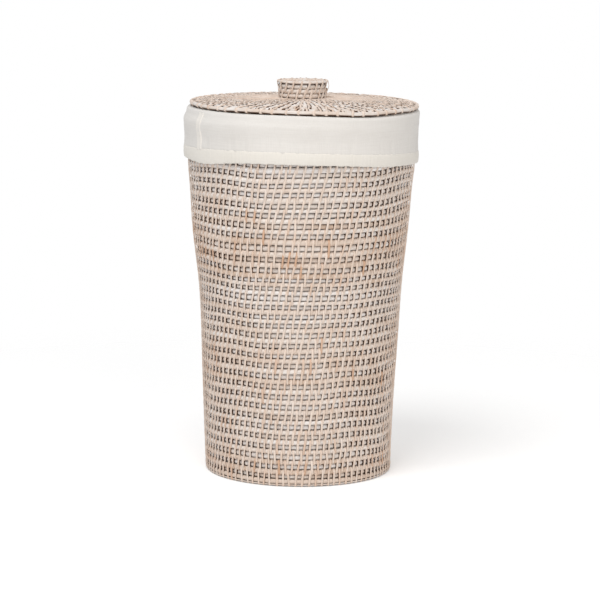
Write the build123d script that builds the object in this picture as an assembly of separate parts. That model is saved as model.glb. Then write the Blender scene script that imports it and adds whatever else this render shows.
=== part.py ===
from build123d import *
import math
import os

# Round rattan laundry basket: a flared woven body, a cloth liner turned over its rim,
# and a lift-off lid with a woven knob.
# Millimetres. The origin is the centre of the foot on the floor, and +Z is up.

# Woven body
FOOT_RADIUS = 143.9
TAPER = 0.0315
FLARE_STEP = 12.0
FLARE_HEIGHT = 333.0
FLARE_LENGTH = 31.5
LIP_STEP = 2.0
LIP_HEIGHT = 470.0
LIP_LENGTH = 14.0
WALL_THICKNESS = 8.0
WALL_TOP = 551.0
WALL_BENDS = (0.42, 0.52, 0.68, 0.88)
WALL_COURSES = 36
COURSE_RELIEF = 2.4
WEAVE_FACETS = 48

FOOT_HEIGHT = 7.5
FOOT_WIDTH = 17.0
FOOT_ROUNDING = 6.0
FOOT_ROUNDING_STEPS = 2

FLOOR_THICKNESS = 6.5
FLOOR_EDGE_GAP = 0.5

RIM_HEIGHT = 8.0
RIM_WIDTH = 8.0
RIM_CHAMFER = 2.0

# Cloth liner
CLOTH = 1.5
LINER_GAP = 0.6
LINER_FLOOR_GAP = 0.5
BAG_WAIST_HEIGHT = 250.0
BAG_WAIST_RADIUS = 143.7
CUFF_RIM_GAP = 0.9
CUFF_BULGE_RADIUS = 179.6
CUFF_BULGE_HEIGHT = 544.5
CUFF_BOTTOM = 505.0
CUFF_BOTTOM_RADIUS = 178.4
FOLD_CHAMFER = 2.2

HEM_HEIGHT = 17.0
HEM_OUTER_RADIUS = 179.5
HEM_DEPTH = 3.8
HEM_CLOTH = 1.1
HEM_CHAMFER = 1.4
HEM_TUCK_WIDTH = 2.4
HEM_TUCK_HEIGHT = 5.0
ELASTIC_HEIGHT = 10.0
ELASTIC_THICKNESS = 1.0

# Lid
LID_RADIUS = 175.0
LID_HOOP_HEIGHT = 8.8
LID_HOOP_WIDTH = 8.0
LID_HOOP_ROUNDING_STEPS = 3
LID_HOOP_LIP = 2.5
LID_HOOP_LIP_WIDTH = 3.5
LID_PANEL_GAP = 0.4
LID_PANEL_THICKNESS = 7.0
LID_PANEL_CROWN = 5.5
LID_SEAT_WIDTH = 21.0
LID_COURSES = 8
LID_COURSE_RELIEF = 2.0
LOCATING_RING_RADIUS = 155.0
LOCATING_RING_WIDTH = 7.0
LOCATING_RING_HEIGHT = 10.0

# Knob
KNOB_PAD_RADIUS = 44.0
KNOB_BASE_RADIUS = 35.2
KNOB_FLARE = 3.0
KNOB_RODS = 3
KNOB_ROD_PITCH = 7.1
KNOB_ROD_GROOVE = 1.6
KNOB_WALL_WIDTH = 6.5
KNOB_HOOP_RADIUS = 39.4
KNOB_HOOP_HEIGHT = 5.4
KNOB_HOOP_CHAMFER = 1.6
KNOB_CAP_RADIUS = 32.6
KNOB_CAP_THICKNESS = 4.9
KNOB_CAP_GAP = 0.3

# Heights that follow from the sizes above
FLOOR_TOP = FOOT_HEIGHT + FLOOR_THICKNESS
RIM_TOP = WALL_TOP + RIM_HEIGHT
FOLD_TOP = RIM_TOP + CLOTH
LID_SEAT = FOLD_TOP + LID_HOOP_LIP
LINER_FLOOR_BOTTOM = FLOOR_TOP + LINER_FLOOR_GAP
LINER_FLOOR_TOP = LINER_FLOOR_BOTTOM + CLOTH
HEM_BOTTOM = CUFF_BOTTOM - HEM_HEIGHT


def wall_radius(height):
    """Outer radius of the woven wall: a slow taper with a soft flare and a small lip."""
    flare = FLARE_STEP / (1.0 + math.exp((FLARE_HEIGHT - height) / FLARE_LENGTH))
    lip = LIP_STEP / (1.0 + math.exp((LIP_HEIGHT - height) / LIP_LENGTH))
    return FOOT_RADIUS + TAPER * height + flare + lip


def bag_radius(height):
    """Outer radius of the hanging bag, just inside the wall."""
    return wall_radius(height) - WALL_THICKNESS - LINER_GAP


def turned(*points):
    """A solid of revolution about Z from the (radius, height) corners of its section."""
    outline = make_face(Polyline(*points, close=True))
    return revolve(Plane.XZ * outline, axis=Axis.Z)


def rounded(centre, radius, start, end, steps):
    """Corners along a round edge of a section, from one angle to another in degrees."""
    corners = []
    for step in range(steps + 1):
        angle = math.radians(start + (end - start) * step / steps)
        corners.append((centre[0] + radius * math.cos(angle), centre[1] + radius * math.sin(angle)))
    return corners


def woven(sections):
    """A ruled solid through many-sided rings, given as (radius, height), one after the other."""
    rings = [
        Plane.XY.offset(height) * RegularPolygon(radius, WEAVE_FACETS)
        for radius, height in sections
    ]
    return loft(rings, ruled=True)


def make_foot_hoop():
    """The flat-bottomed hoop that the basket stands on, rounded at its outer lower edge."""
    outer = wall_radius(FOOT_HEIGHT)
    inner = outer - FOOT_WIDTH
    toe_centre = (outer - FOOT_ROUNDING, FOOT_ROUNDING)
    toe = rounded(toe_centre, FOOT_ROUNDING, -90.0, 0.0, FOOT_ROUNDING_STEPS)
    return turned((inner, 0.0), *toe, (outer, FOOT_HEIGHT), (inner, FOOT_HEIGHT))


def make_floor_disc():
    """The coiled bottom, laid on the inner part of the foot hoop."""
    radius = wall_radius(FOOT_HEIGHT) - WALL_THICKNESS - FLOOR_EDGE_GAP
    return turned((0.0, FOOT_HEIGHT), (radius, FOOT_HEIGHT), (radius, FLOOR_TOP), (0.0, FLOOR_TOP))


def make_wall():
    """The flared woven shell, with a raised rod in each of its courses."""
    span = WALL_TOP - FOOT_HEIGHT
    half_course = span / WALL_COURSES / 2
    outside = []
    for ring in range(2 * WALL_COURSES + 1):
        height = FOOT_HEIGHT + half_course * ring
        groove = COURSE_RELIEF if ring % 2 == 0 else 0.0
        outside.append((wall_radius(height) - groove, height))
    corner = 1.0 / math.cos(math.pi / WEAVE_FACETS)
    heights = [FOOT_HEIGHT + span * share for share in (0.0, *WALL_BENDS, 1.0)]
    inside = [((wall_radius(height) - WALL_THICKNESS) * corner, height) for height in heights]
    return woven(outside) - woven(inside)


def make_rim_hoop():
    """The stiff hoop on the wall's top edge, under the cloth."""
    outer = wall_radius(WALL_TOP)
    inner = outer - RIM_WIDTH
    return turned(
        (inner, WALL_TOP),
        (outer, WALL_TOP),
        (outer, RIM_TOP - RIM_CHAMFER),
        (outer - RIM_CHAMFER, RIM_TOP),
        (inner, RIM_TOP),
    )


def make_liner_sides():
    """The bag hanging in the basket, folded over the rim and down outside as a cuff."""
    mouth = wall_radius(WALL_TOP) - RIM_WIDTH - LINER_GAP
    bag = [
        (bag_radius(LINER_FLOOR_TOP), LINER_FLOOR_TOP),
        (BAG_WAIST_RADIUS, BAG_WAIST_HEIGHT),
        (mouth, RIM_TOP),
    ]
    cuff_top = wall_radius(WALL_TOP) + CUFF_RIM_GAP
    cuff = [
        (CUFF_BULGE_RADIUS, CUFF_BULGE_HEIGHT),
        (CUFF_BOTTOM_RADIUS, CUFF_BOTTOM),
    ]
    inner_cuff = [(radius - CLOTH, height) for radius, height in cuff]
    outer_top = cuff_top + CLOTH
    bag_inside = [(radius - CLOTH, height) for radius, height in bag[:-1]]
    return turned(
        *bag,
        (cuff_top, RIM_TOP),
        *inner_cuff,
        *reversed(cuff),
        (outer_top, FOLD_TOP - FOLD_CHAMFER),
        (outer_top - FOLD_CHAMFER, FOLD_TOP),
        (mouth - CLOTH, FOLD_TOP),
        *reversed(bag_inside),
    )


def make_liner_floor():
    """The round bottom of the bag."""
    radius = bag_radius(LINER_FLOOR_TOP)
    return turned(
        (0.0, LINER_FLOOR_BOTTOM),
        (radius, LINER_FLOOR_BOTTOM),
        (radius, LINER_FLOOR_TOP),
        (0.0, LINER_FLOOR_TOP),
    )


def make_hem_casing():
    """The hollow channel sewn along the cuff's lower edge, drawn in at its bottom."""
    outer = HEM_OUTER_RADIUS
    inner = outer - HEM_DEPTH
    sleeve = turned(
        (inner, HEM_BOTTOM),
        (outer - HEM_TUCK_WIDTH, HEM_BOTTOM),
        (outer, HEM_BOTTOM + HEM_TUCK_HEIGHT),
        (outer, CUFF_BOTTOM - HEM_CHAMFER),
        (CUFF_BOTTOM_RADIUS, CUFF_BOTTOM),
        (inner, CUFF_BOTTOM),
    )
    channel_low = HEM_BOTTOM + HEM_TUCK_HEIGHT
    channel = turned(
        (inner + HEM_CLOTH, channel_low),
        (outer - HEM_CLOTH, channel_low),
        (outer - HEM_CLOTH, CUFF_BOTTOM - HEM_CLOTH),
        (inner + HEM_CLOTH, CUFF_BOTTOM - HEM_CLOTH),
    )
    return sleeve - channel


def make_hem_elastic():
    """The flat elastic band, standing on the channel's floor."""
    middle = HEM_OUTER_RADIUS - HEM_DEPTH / 2
    low = HEM_BOTTOM + HEM_TUCK_HEIGHT
    high = low + ELASTIC_HEIGHT
    inner = middle - ELASTIC_THICKNESS / 2
    outer = middle + ELASTIC_THICKNESS / 2
    return turned((inner, low), (outer, low), (outer, high), (inner, high))


def make_lid_rim_hoop():
    """The thick hoop round the lid, half round outside, with a lip that carries the panel."""
    half = LID_HOOP_HEIGHT / 2
    crest = LID_RADIUS - half
    inner = LID_RADIUS - LID_HOOP_WIDTH
    lip = inner - LID_HOOP_LIP_WIDTH
    outside = rounded((crest, FOLD_TOP + half), half, -90.0, 90.0, LID_HOOP_ROUNDING_STEPS)
    top = FOLD_TOP + LID_HOOP_HEIGHT
    return turned(*outside, (inner, top), (inner, LID_SEAT), (lip, LID_SEAT), (lip, FOLD_TOP))


def make_lid_panel():
    """The woven disc of the lid: a flat seat, a low crown of raised rods and a flat pad for the knob."""
    edge = LID_RADIUS - LID_HOOP_WIDTH - LID_PANEL_GAP
    seat = edge - LID_SEAT_WIDTH
    edge_top = LID_SEAT + LID_PANEL_THICKNESS
    half_course = (edge - KNOB_PAD_RADIUS) / LID_COURSES / 2
    sections = [(KNOB_PAD_RADIUS, LID_SEAT + LID_PANEL_CROWN), (seat, LID_SEAT), (edge, LID_SEAT)]
    for ring in range(2 * LID_COURSES + 1):
        rise = LID_PANEL_CROWN * ring / (2 * LID_COURSES)
        groove = LID_COURSE_RELIEF if ring % 2 == 1 else 0.0
        sections.append((edge - half_course * ring, edge_top + rise - groove))
    return woven(sections)


def make_lid_locating_ring():
    """The ring under the lid that drops into the mouth of the liner."""
    outer = LOCATING_RING_RADIUS
    inner = outer - LOCATING_RING_WIDTH
    low = LID_SEAT - LOCATING_RING_HEIGHT
    return turned((inner, low), (outer, low), (outer, LID_SEAT), (inner, LID_SEAT))


def knob_base_height():
    """Top of the flat pad that the knob stands on."""
    return LID_SEAT + LID_PANEL_THICKNESS + LID_PANEL_CROWN


def make_knob_wall():
    """The stacked rods of the knob, leaning out a little towards the top."""
    base = knob_base_height()
    height = KNOB_RODS * KNOB_ROD_PITCH
    lean = KNOB_FLARE / height
    groove = KNOB_BASE_RADIUS - KNOB_ROD_GROOVE
    outside = [(groove, base)]
    for rod in range(KNOB_RODS):
        crest = (rod + 0.5) * KNOB_ROD_PITCH
        valley = (rod + 1) * KNOB_ROD_PITCH
        outside.append((KNOB_BASE_RADIUS + lean * crest, base + crest))
        outside.append((groove + lean * valley, base + valley))
    inside = KNOB_BASE_RADIUS - KNOB_WALL_WIDTH
    return turned(*outside, (inside, base + height), (inside, base))


def make_knob_top_hoop():
    """The thick hoop that finishes the knob."""
    low = knob_base_height() + KNOB_RODS * KNOB_ROD_PITCH
    high = low + KNOB_HOOP_HEIGHT
    inner = KNOB_CAP_RADIUS + KNOB_CAP_GAP
    outer = KNOB_HOOP_RADIUS
    cut = KNOB_HOOP_CHAMFER
    return turned(
        (inner, low),
        (outer - cut, low),
        (outer, low + cut),
        (outer, high - cut),
        (outer - cut, high),
        (inner, high),
    )


def make_knob_cap():
    """The coiled disc that closes the knob, inside its top hoop."""
    low = knob_base_height() + KNOB_RODS * KNOB_ROD_PITCH
    high = low + KNOB_CAP_THICKNESS
    return turned((0.0, low), (KNOB_CAP_RADIUS, low), (KNOB_CAP_RADIUS, high), (0.0, high))


PIECES = {
    "foot_hoop": make_foot_hoop,
    "floor_disc": make_floor_disc,
    "wall": make_wall,
    "rim_hoop": make_rim_hoop,
    "liner_sides": make_liner_sides,
    "liner_floor": make_liner_floor,
    "hem_casing": make_hem_casing,
    "hem_elastic": make_hem_elastic,
    "lid_rim_hoop": make_lid_rim_hoop,
    "lid_panel": make_lid_panel,
    "lid_locating_ring": make_lid_locating_ring,
    "knob_wall": make_knob_wall,
    "knob_top_hoop": make_knob_top_hoop,
    "knob_cap": make_knob_cap,
}

os.makedirs("parts", exist_ok=True)
for name, make_piece in PIECES.items():
    export_step(make_piece(), f"parts/{name}.step")
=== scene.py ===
"""Dresses the laundry basket: lashed rattan rods, a cotton liner and a woven lid with a knob."""

import logging
import math
from collections.abc import Sequence
from dataclasses import dataclass
from enum import Enum

import bmesh
import bpy
import numpy as np
from mathutils import Matrix, Vector


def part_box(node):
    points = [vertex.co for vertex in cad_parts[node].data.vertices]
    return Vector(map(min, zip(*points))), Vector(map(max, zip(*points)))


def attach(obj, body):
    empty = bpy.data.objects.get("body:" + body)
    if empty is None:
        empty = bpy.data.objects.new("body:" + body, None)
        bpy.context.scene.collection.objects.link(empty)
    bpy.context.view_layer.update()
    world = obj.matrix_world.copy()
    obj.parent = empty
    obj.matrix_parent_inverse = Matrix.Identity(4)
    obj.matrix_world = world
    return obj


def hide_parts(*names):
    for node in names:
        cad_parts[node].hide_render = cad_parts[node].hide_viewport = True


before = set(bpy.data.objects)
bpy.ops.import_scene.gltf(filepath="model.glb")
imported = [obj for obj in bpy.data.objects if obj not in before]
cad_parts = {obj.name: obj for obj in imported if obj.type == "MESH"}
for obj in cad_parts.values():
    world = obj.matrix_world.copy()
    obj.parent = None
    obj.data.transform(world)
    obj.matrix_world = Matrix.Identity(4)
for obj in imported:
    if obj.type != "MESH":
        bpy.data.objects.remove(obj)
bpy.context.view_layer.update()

LOG = logging.getLogger("basket")
MM = 0.001
AXIS = (0.0, 0.0, 1.0)
ORIGIN = (0.0, 0.0, 0.0)
WHITE = (1.0, 1.0, 1.0, 1.0)
MERGE = 1e-6  # Vertices closer than this are one

Colour = tuple[float, float, float, float]
Points = np.ndarray
Value = float | Colour | bpy.types.NodeSocket


class Body(Enum):
    """The moving bodies of the basket."""

    BASKET = "basket"
    LINER = "liner"
    LID = "lid"


class Slot(Enum):
    """The material slots that the finishes belong to."""

    CORE = "rattan_core"
    HOOP = "rattan_hoop"
    CLOTH = "liner_cloth"
    ELASTIC = "elastic"


class Show(Enum):
    """The side of a course of rods that is on show and whitewashed, as (outward, upward)."""

    OUTWARD = (1.0, 0.0)
    UPWARD = (0.0, 1.0)
    CORNER = (0.7071, 0.7071)


def shade(red: int, green: int, blue: int) -> Colour:
    """Turns a colour as seen on a screen, 0 to 255, into the linear colour of a shader.

    Args:
        red: Red part.
        green: Green part.
        blue: Blue part.

    Returns:
        Linear red, green, blue and an alpha of one.
    """
    parts = [part / 255.0 for part in (red, green, blue)]
    linear = [part / 12.92 if part <= 0.04045 else ((part + 0.055) / 1.055) ** 2.4 for part in parts]
    return (linear[0], linear[1], linear[2], 1.0)


def smooth_step(values: Points | float, low: float, high: float) -> Points:
    """Eases values from zero at low to one at high.

    Args:
        values: Numbers to ease.
        low: Where the rise starts.
        high: Where it ends.

    Returns:
        The eased numbers.
    """
    share = np.clip((values - low) / (high - low), 0.0, 1.0)
    return share * share * (3.0 - 2.0 * share)


def bell(values: Points | float, place: float, spread: float) -> Points:
    """Gives a soft bump that is one at a place and falls away on both sides.

    Args:
        values: Where to take it.
        place: Its middle.
        spread: Distance over which it falls to about a third.

    Returns:
        Numbers from zero to one.
    """
    return np.exp(-(((values - place) / spread) ** 2))


def past(value: float, middle: float, length: float) -> float:
    """Eases from zero well below a middle to one well above it."""
    return 1.0 / (1.0 + math.exp((middle - value) / length))


def turn_from(angle: Points, place: float) -> Points:
    """Gives how far round the axis angles lie from a place, the shorter way."""
    return np.angle(np.exp(1j * (angle - place)))


class NodeGraph:
    """A node tree, with short calls for adding and joining nodes."""

    def __init__(self, tree: bpy.types.NodeTree) -> None:
        """Takes up a tree."""
        self.tree = tree

    def node(self, kind: str, **settings: object) -> bpy.types.Node:
        """Adds a node.

        Args:
            kind: Blender's name of the node type.
            settings: Properties to set on it.

        Returns:
            The new node.
        """
        made = self.tree.nodes.new(kind)
        for key, value in settings.items():
            setattr(made, key, value)
        return made

    def feed(self, target: bpy.types.NodeSocket, value: Value) -> None:
        """Links a socket to an output, or sets it to a plain value.

        Args:
            target: Socket to feed.
            value: Output or value that it gets.
        """
        if isinstance(value, bpy.types.NodeSocket):
            self.tree.links.new(value, target)
        else:
            target.default_value = value

    def seen(self) -> bpy.types.NodeSocket:
        """Gives one where the camera sees a thing itself, in a gloss or through glass."""
        rays = self.node("ShaderNodeLightPath").outputs
        direct = self.maths("MAXIMUM", rays["Is Camera Ray"], rays["Is Glossy Ray"])
        return self.maths("MAXIMUM", direct, rays["Is Transmission Ray"])

    def maths(
        self, operation: str, first: Value, second: Value = 0.0, clamp: bool = False
    ) -> bpy.types.NodeSocket:
        """Adds one sum.

        Args:
            operation: Blender's name of the operation.
            first: First number.
            second: Second number.
            clamp: Whether the result stays between zero and one.

        Returns:
            The result's socket.
        """
        made = self.node("ShaderNodeMath", operation=operation, use_clamp=clamp)
        self.feed(made.inputs[0], first)
        self.feed(made.inputs[1], second)
        return made.outputs[0]

    def spread(
        self, value: Value, low: float, high: float, start: float = 0.0, end: float = 1.0
    ) -> bpy.types.NodeSocket:
        """Maps a range of numbers onto another, clamped.

        Args:
            value: Number to map.
            low: Lower end of the range that comes in.
            high: Upper end of the range that comes in.
            start: What low becomes.
            end: What high becomes.

        Returns:
            The mapped number's socket.
        """
        made = self.node("ShaderNodeMapRange")
        for index, number in enumerate((value, low, high, start, end)):
            self.feed(made.inputs[index], number)
        return made.outputs[0]

    def mix(self, share: Value, first: Value, second: Value, blend: str = "MIX") -> bpy.types.NodeSocket:
        """Mixes two colours.

        Args:
            share: How much of the second colour there is.
            first: First colour.
            second: Second colour.
            blend: Blender's name of the way of mixing.

        Returns:
            The mixed colour's socket.
        """
        made = self.node("ShaderNodeMix", data_type="RGBA", blend_type=blend)
        self.feed(made.inputs["Factor"], share)
        self.feed(made.inputs["A"], first)
        self.feed(made.inputs["B"], second)
        return made.outputs["Result"]

    def ramp(self, value: Value, stops: Sequence[tuple[float, Colour]]) -> bpy.types.NodeSocket:
        """Turns a number into a colour along a row of stops.

        Args:
            value: Number from zero to one.
            stops: Places and colours, in order.

        Returns:
            The colour's socket.
        """
        made = self.node("ShaderNodeValToRGB")
        elements = made.color_ramp.elements
        while len(elements) < len(stops):
            elements.new(1.0)
        for element, (place, colour) in zip(elements, stops):
            element.position = place
            element.color = colour
        self.feed(made.inputs["Fac"], value)
        return made.outputs["Color"]


class Finish(NodeGraph):
    """A material's node tree with its shader."""

    def __init__(self, name: str) -> None:
        """Starts a material.

        Args:
            name: Its name.
        """
        self.material = bpy.data.materials.new(name)
        self.material.use_nodes = True
        super().__init__(self.material.node_tree)
        self.shader = self.tree.nodes["Principled BSDF"]
        self.place = self.node("ShaderNodeTexCoord").outputs["Object"]

    def attribute(self, name: str) -> bpy.types.NodeSocket:
        """Reads a number that the mesh stores at each vertex."""
        return self.node("ShaderNodeAttribute", attribute_name=name).outputs["Fac"]

    def set(self, **numbers: float) -> None:
        """Sets plain numbers on the shader, each named as its socket with a low line for a space."""
        for key, number in numbers.items():
            self.shader.inputs[key.replace("_", " ")].default_value = number

    def paint(self, colour: Value) -> None:
        """Sets or links the shader's base colour."""
        self.feed(self.shader.inputs["Base Color"], colour)

    def noise(
        self, scale: tuple[float, float, float], detail: float = 2.0, shift: Value | None = None
    ) -> bpy.types.NodeSocket:
        """Adds a noise on the object's own coordinates.

        Args:
            scale: Spots per metre along X, Y and Z.
            detail: Finer layers.
            shift: A fourth coordinate, where the pattern follows one.

        Returns:
            The noise's number, about 0.5 on average.
        """
        mapping = self.node("ShaderNodeMapping")
        mapping.inputs["Scale"].default_value = scale
        self.feed(mapping.inputs["Vector"], self.place)
        made = self.node("ShaderNodeTexNoise", noise_dimensions="3D" if shift is None else "4D")
        made.inputs["Scale"].default_value = 1.0
        made.inputs["Detail"].default_value = detail
        self.feed(made.inputs["Vector"], mapping.outputs["Vector"])
        if shift is not None:
            self.feed(made.inputs["W"], shift)
        return made.outputs["Fac"]

    def bump(self, height: Value, strength: float, depth: float) -> None:
        """Roughens the shader's normal.

        Args:
            height: Relief, zero to one.
            strength: How much of it shows.
            depth: Depth of the relief.
        """
        made = self.node("ShaderNodeBump")
        made.inputs["Strength"].default_value = strength
        made.inputs["Distance"].default_value = depth
        self.feed(made.inputs["Height"], height)
        self.feed(self.shader.inputs["Normal"], made.outputs["Normal"])


@dataclass(frozen=True)
class RattanFinish:
    """Whitewashed rattan: pale paint on the side on show, brown cane where the whitewash did not reach, dark
    enough to be painted shade as well in the slits and under the strips.

    Attributes:
        name: Name of the material.
        tints: Colours of the whitewash, from the palest lengths to the barest.
        bare: Cane with hardly any whitewash.
        hidden: Cane deep between the rods, unwashed and darkened as painted shade there.
        streaks: Streaks across one rod or strip.
        patchiness: How much the whitewash comes and goes.
        streak_length: Spots per metre along the cane.
        patch_length: Patches of worn wash per metre.
        patch_range: Noise between which a patch wears.
        patch_loss: Most whitewash that a patch loses.
        streak_range: Noise between which a streak wears.
        streak_loss: Most whitewash that a streak loses.
        washed_and_lit_range: Stored whitewash shares between which the pale paint covers the dark cane of the
            painted shade.
        grain_range: Noise between which the grain darkens.
        grain_shades: Its lightest and its darkest shade.
        roughness: Roughness of whole and of worn wash.
        gloss: Strength of the shine.
        grain_relief: Strength and depth of the grain.
    """

    name: str
    tints: tuple[tuple[float, Colour], ...]
    bare: Colour
    hidden: Colour
    streaks: float
    patchiness: float = 0.9
    streak_length: float = 28.0
    patch_length: float = 75.0
    patch_range: tuple[float, float] = (0.42, 0.72)
    patch_loss: float = 0.45
    streak_range: tuple[float, float] = (0.48, 0.75)
    streak_loss: float = 0.55
    washed_and_lit_range: tuple[float, float] = (0.05, 0.75)
    grain_range: tuple[float, float] = (0.25, 0.7)
    grain_shades: tuple[float, float] = (1.04, 0.94)
    roughness: tuple[float, float] = (0.62, 0.8)
    gloss: float = 0.3
    grain_relief: tuple[float, float] = (0.45, 0.35 * MM)

    def material(self) -> bpy.types.Material:
        """Builds the material.

        Returns:
            The finished material.
        """
        graph = Finish(self.name)
        across = graph.maths("MULTIPLY", graph.attribute("across"), self.streaks)
        grain = graph.noise((self.streak_length,) * 3, 3.0, across)
        patches = graph.noise((self.patch_length,) * 3, 2.0)
        tint = graph.ramp(graph.attribute("tone"), self.tints)
        worn = graph.maths("MULTIPLY", graph.spread(patches, *self.patch_range), self.patchiness)
        worn = graph.maths("MULTIPLY", worn, self.patch_loss)
        streaked = graph.maths("MULTIPLY", graph.spread(grain, *self.streak_range), self.streak_loss)
        painted = graph.mix(graph.maths("MAXIMUM", worn, streaked, clamp=True), tint, self.bare)
        # Painted shade: where the stored whitewash share falls off (on the rods' far sides, in the slits and
        # under the strips) the colour goes to the dark cane, which stands for unwashed cane and for the shade
        # there.
        washed_and_lit = graph.spread(graph.attribute("wash_and_shade"), *self.washed_and_lit_range)
        colour = graph.mix(washed_and_lit, self.hidden, painted)
        dusk = graph.spread(grain, *self.grain_range, *self.grain_shades)
        graph.paint(graph.mix(1.0, colour, dusk, "MULTIPLY"))
        graph.feed(graph.shader.inputs["Roughness"], graph.spread(patches, 0.3, 0.7, *self.roughness))
        graph.set(Specular_IOR_Level=self.gloss)
        graph.bump(grain, *self.grain_relief)
        return graph.material


@dataclass(frozen=True)
class CottonFinish:
    """Plain woven cotton with slubs.

    Attributes:
        name: Name of the material.
        cloth: Colour of the cloth.
        shadow: Colour of its thin or creased places.
        thread: Threads per metre.
        relief: How strongly the threads stand out.
        relief_depth: How far they do.
        run: Thick and thin places per metre of a thread.
        slub_threads: Slubs per metre across their length.
        slub_run: Slubs per metre along their length.
        slub_relief: How far slubs stand out, as a share of the threads.
        clouds: Dim places per metre.
        thread_dim: Most dimming between threads.
        cloud_dim: Most dimming of a dim place.
    """

    name: str
    cloth: Colour
    shadow: Colour
    thread: float = 1250.0
    relief: float = 0.25
    relief_depth: float = 0.4 * MM
    run: float = 26.0
    slub_threads: float = 420.0
    slub_run: float = 12.0
    slub_relief: float = 0.8
    clouds: float = 14.0
    thread_dim: float = 0.45
    cloud_dim: float = 0.35

    def material(self) -> bpy.types.Material:
        """Builds the material.

        Returns:
            The finished material.
        """
        graph = Finish(self.name)
        upright = graph.noise((self.thread, self.thread, self.run), 1.0)
        level = graph.noise((self.run, self.run, self.thread), 1.0)
        cross_slubs = graph.noise((self.slub_run, self.slub_run, self.slub_threads), 2.0)
        long_slubs = graph.noise((self.slub_threads, self.slub_threads, self.slub_run), 2.0)
        weave = graph.maths("ADD", upright, level)
        clouds = graph.noise((self.clouds,) * 3, 3.0)
        slubs = graph.maths("ADD", graph.spread(cross_slubs, 0.5, 0.8), graph.spread(long_slubs, 0.5, 0.8))
        thin = graph.spread(weave, 1.3, 0.7, 0.0, self.thread_dim)
        dim = graph.maths("ADD", thin, graph.spread(clouds, 0.45, 0.75, 0.0, self.cloud_dim))
        graph.paint(graph.mix(dim, self.cloth, self.shadow))
        graph.set(Roughness=0.9, Specular_IOR_Level=0.15, Sheen_Weight=0.12, Sheen_Roughness=0.6)
        relief = graph.maths("ADD", weave, graph.maths("MULTIPLY", slubs, self.slub_relief))
        graph.bump(relief, self.relief, self.relief_depth)
        return graph.material


@dataclass(frozen=True)
class ElasticFinish:
    """Ribbed white elastic webbing.

    Attributes:
        name: Name of the material.
        web: Colour of the ribs.
        groove: Colour between them.
        ribs: Ribs per metre.
        run: Thick and thin places per metre of a rib.
    """

    name: str = "elastic_webbing"
    web: Colour = shade(226, 222, 214)
    groove: Colour = shade(184, 178, 168)
    ribs: float = 620.0
    run: float = 6.0

    def material(self) -> bpy.types.Material:
        """Builds the material.

        Returns:
            The finished material.
        """
        graph = Finish(self.name)
        ribs = graph.noise((self.run, self.run, self.ribs), 1.0)
        graph.paint(graph.mix(graph.spread(ribs, 0.4, 0.6), self.groove, self.web))
        graph.set(Roughness=0.75)
        graph.bump(ribs, 0.5, 0.3 * MM)
        return graph.material


ROD_TINTS = (
    (0.0, shade(244, 242, 242)),
    (0.35, shade(240, 234, 229)),
    (0.7, shade(232, 219, 209)),
    (1.0, shade(214, 191, 172)),
)
PEEL_TINTS = (
    (0.0, shade(237, 224, 214)),
    (0.6, shade(234, 216, 202)),
    (0.88, shade(228, 203, 185)),
    (1.0, shade(214, 176, 148)),
)
# The dark cane colours 84, 55, 34 and 128, 92, 64 stand for unwashed cane, and they also serve as painted
# shade between the rods and under the strips.
ROD_FINISH = RattanFinish("whitewashed_rod", ROD_TINTS, shade(204, 180, 160), shade(84, 55, 34), streaks=14.0)
PEEL_FINISH = RattanFinish(
    "whitewashed_peel", PEEL_TINTS, shade(208, 177, 152), shade(128, 92, 64), streaks=3.0, patchiness=0.6
)
LINER_FINISH = CottonFinish("liner_cotton", shade(232, 229, 225), shade(220, 216, 211))
HEM_FINISH = CottonFinish("hem_cotton", shade(236, 232, 225), shade(227, 222, 213), relief=0.15)
SEAM_FINISH = CottonFinish("seam_cotton", shade(240, 236, 230), shade(230, 225, 218), relief=0.15)
THREAD_FINISH = CottonFinish("sewing_thread", shade(240, 233, 220), shade(220, 211, 197), thread=3000.0)


def read_points(mesh: bpy.types.Mesh) -> Points:
    """Reads a mesh's vertices.

    Args:
        mesh: Mesh to read.

    Returns:
        One row of X, Y and Z for each vertex.
    """
    flat = np.empty(len(mesh.vertices) * 3, dtype=np.float32)
    mesh.vertices.foreach_get("co", flat)
    return flat.reshape(-1, 3).astype(np.float64)


def write_points(mesh: bpy.types.Mesh, points: Points) -> None:
    """Puts a mesh's vertices in new places."""
    mesh.vertices.foreach_set("co", points.astype(np.float32).ravel())
    mesh.update()


def read_numbers(mesh: bpy.types.Mesh, name: str) -> Points:
    """Reads the numbers that a mesh stores at its vertices under that name."""
    flat = np.empty(len(mesh.vertices), dtype=np.float32)
    mesh.attributes[name].data.foreach_get("value", flat)
    return flat.astype(np.float64)


def write_numbers(mesh: bpy.types.Mesh, name: str, values: Points) -> None:
    """Stores one number at each vertex of a mesh under that name."""
    layer = mesh.attributes.get(name) or mesh.attributes.new(name, "FLOAT", "POINT")
    layer.data.foreach_set("value", values.astype(np.float32))


def to_rings(points: Points) -> tuple[Points, Points, Points]:
    """Turns places into radius, angle and height about the basket's axis."""
    return np.hypot(points[:, 0], points[:, 1]), np.arctan2(points[:, 1], points[:, 0]), points[:, 2].copy()


def from_rings(radius: Points, angle: Points, height: Points) -> Points:
    """Turns radius, angle and height back into places."""
    return np.column_stack([radius * np.cos(angle), radius * np.sin(angle), height])


def finished(bm: bmesh.types.BMesh, name: str, smooth: bool = True) -> bpy.types.Object:
    """Makes an object of a mesh under construction.

    Args:
        bm: The mesh, which is used up.
        name: Name of the piece.
        smooth: Whether it is shaded smooth.

    Returns:
        The new object, at the origin.
    """
    bmesh.ops.recalc_face_normals(bm, faces=bm.faces)
    mesh = bpy.data.meshes.new(name)
    bm.to_mesh(mesh)
    bm.free()
    if smooth:
        mesh.shade_smooth()
    piece = bpy.data.objects.new(name, mesh)
    bpy.context.scene.collection.objects.link(piece)
    return piece


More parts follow.
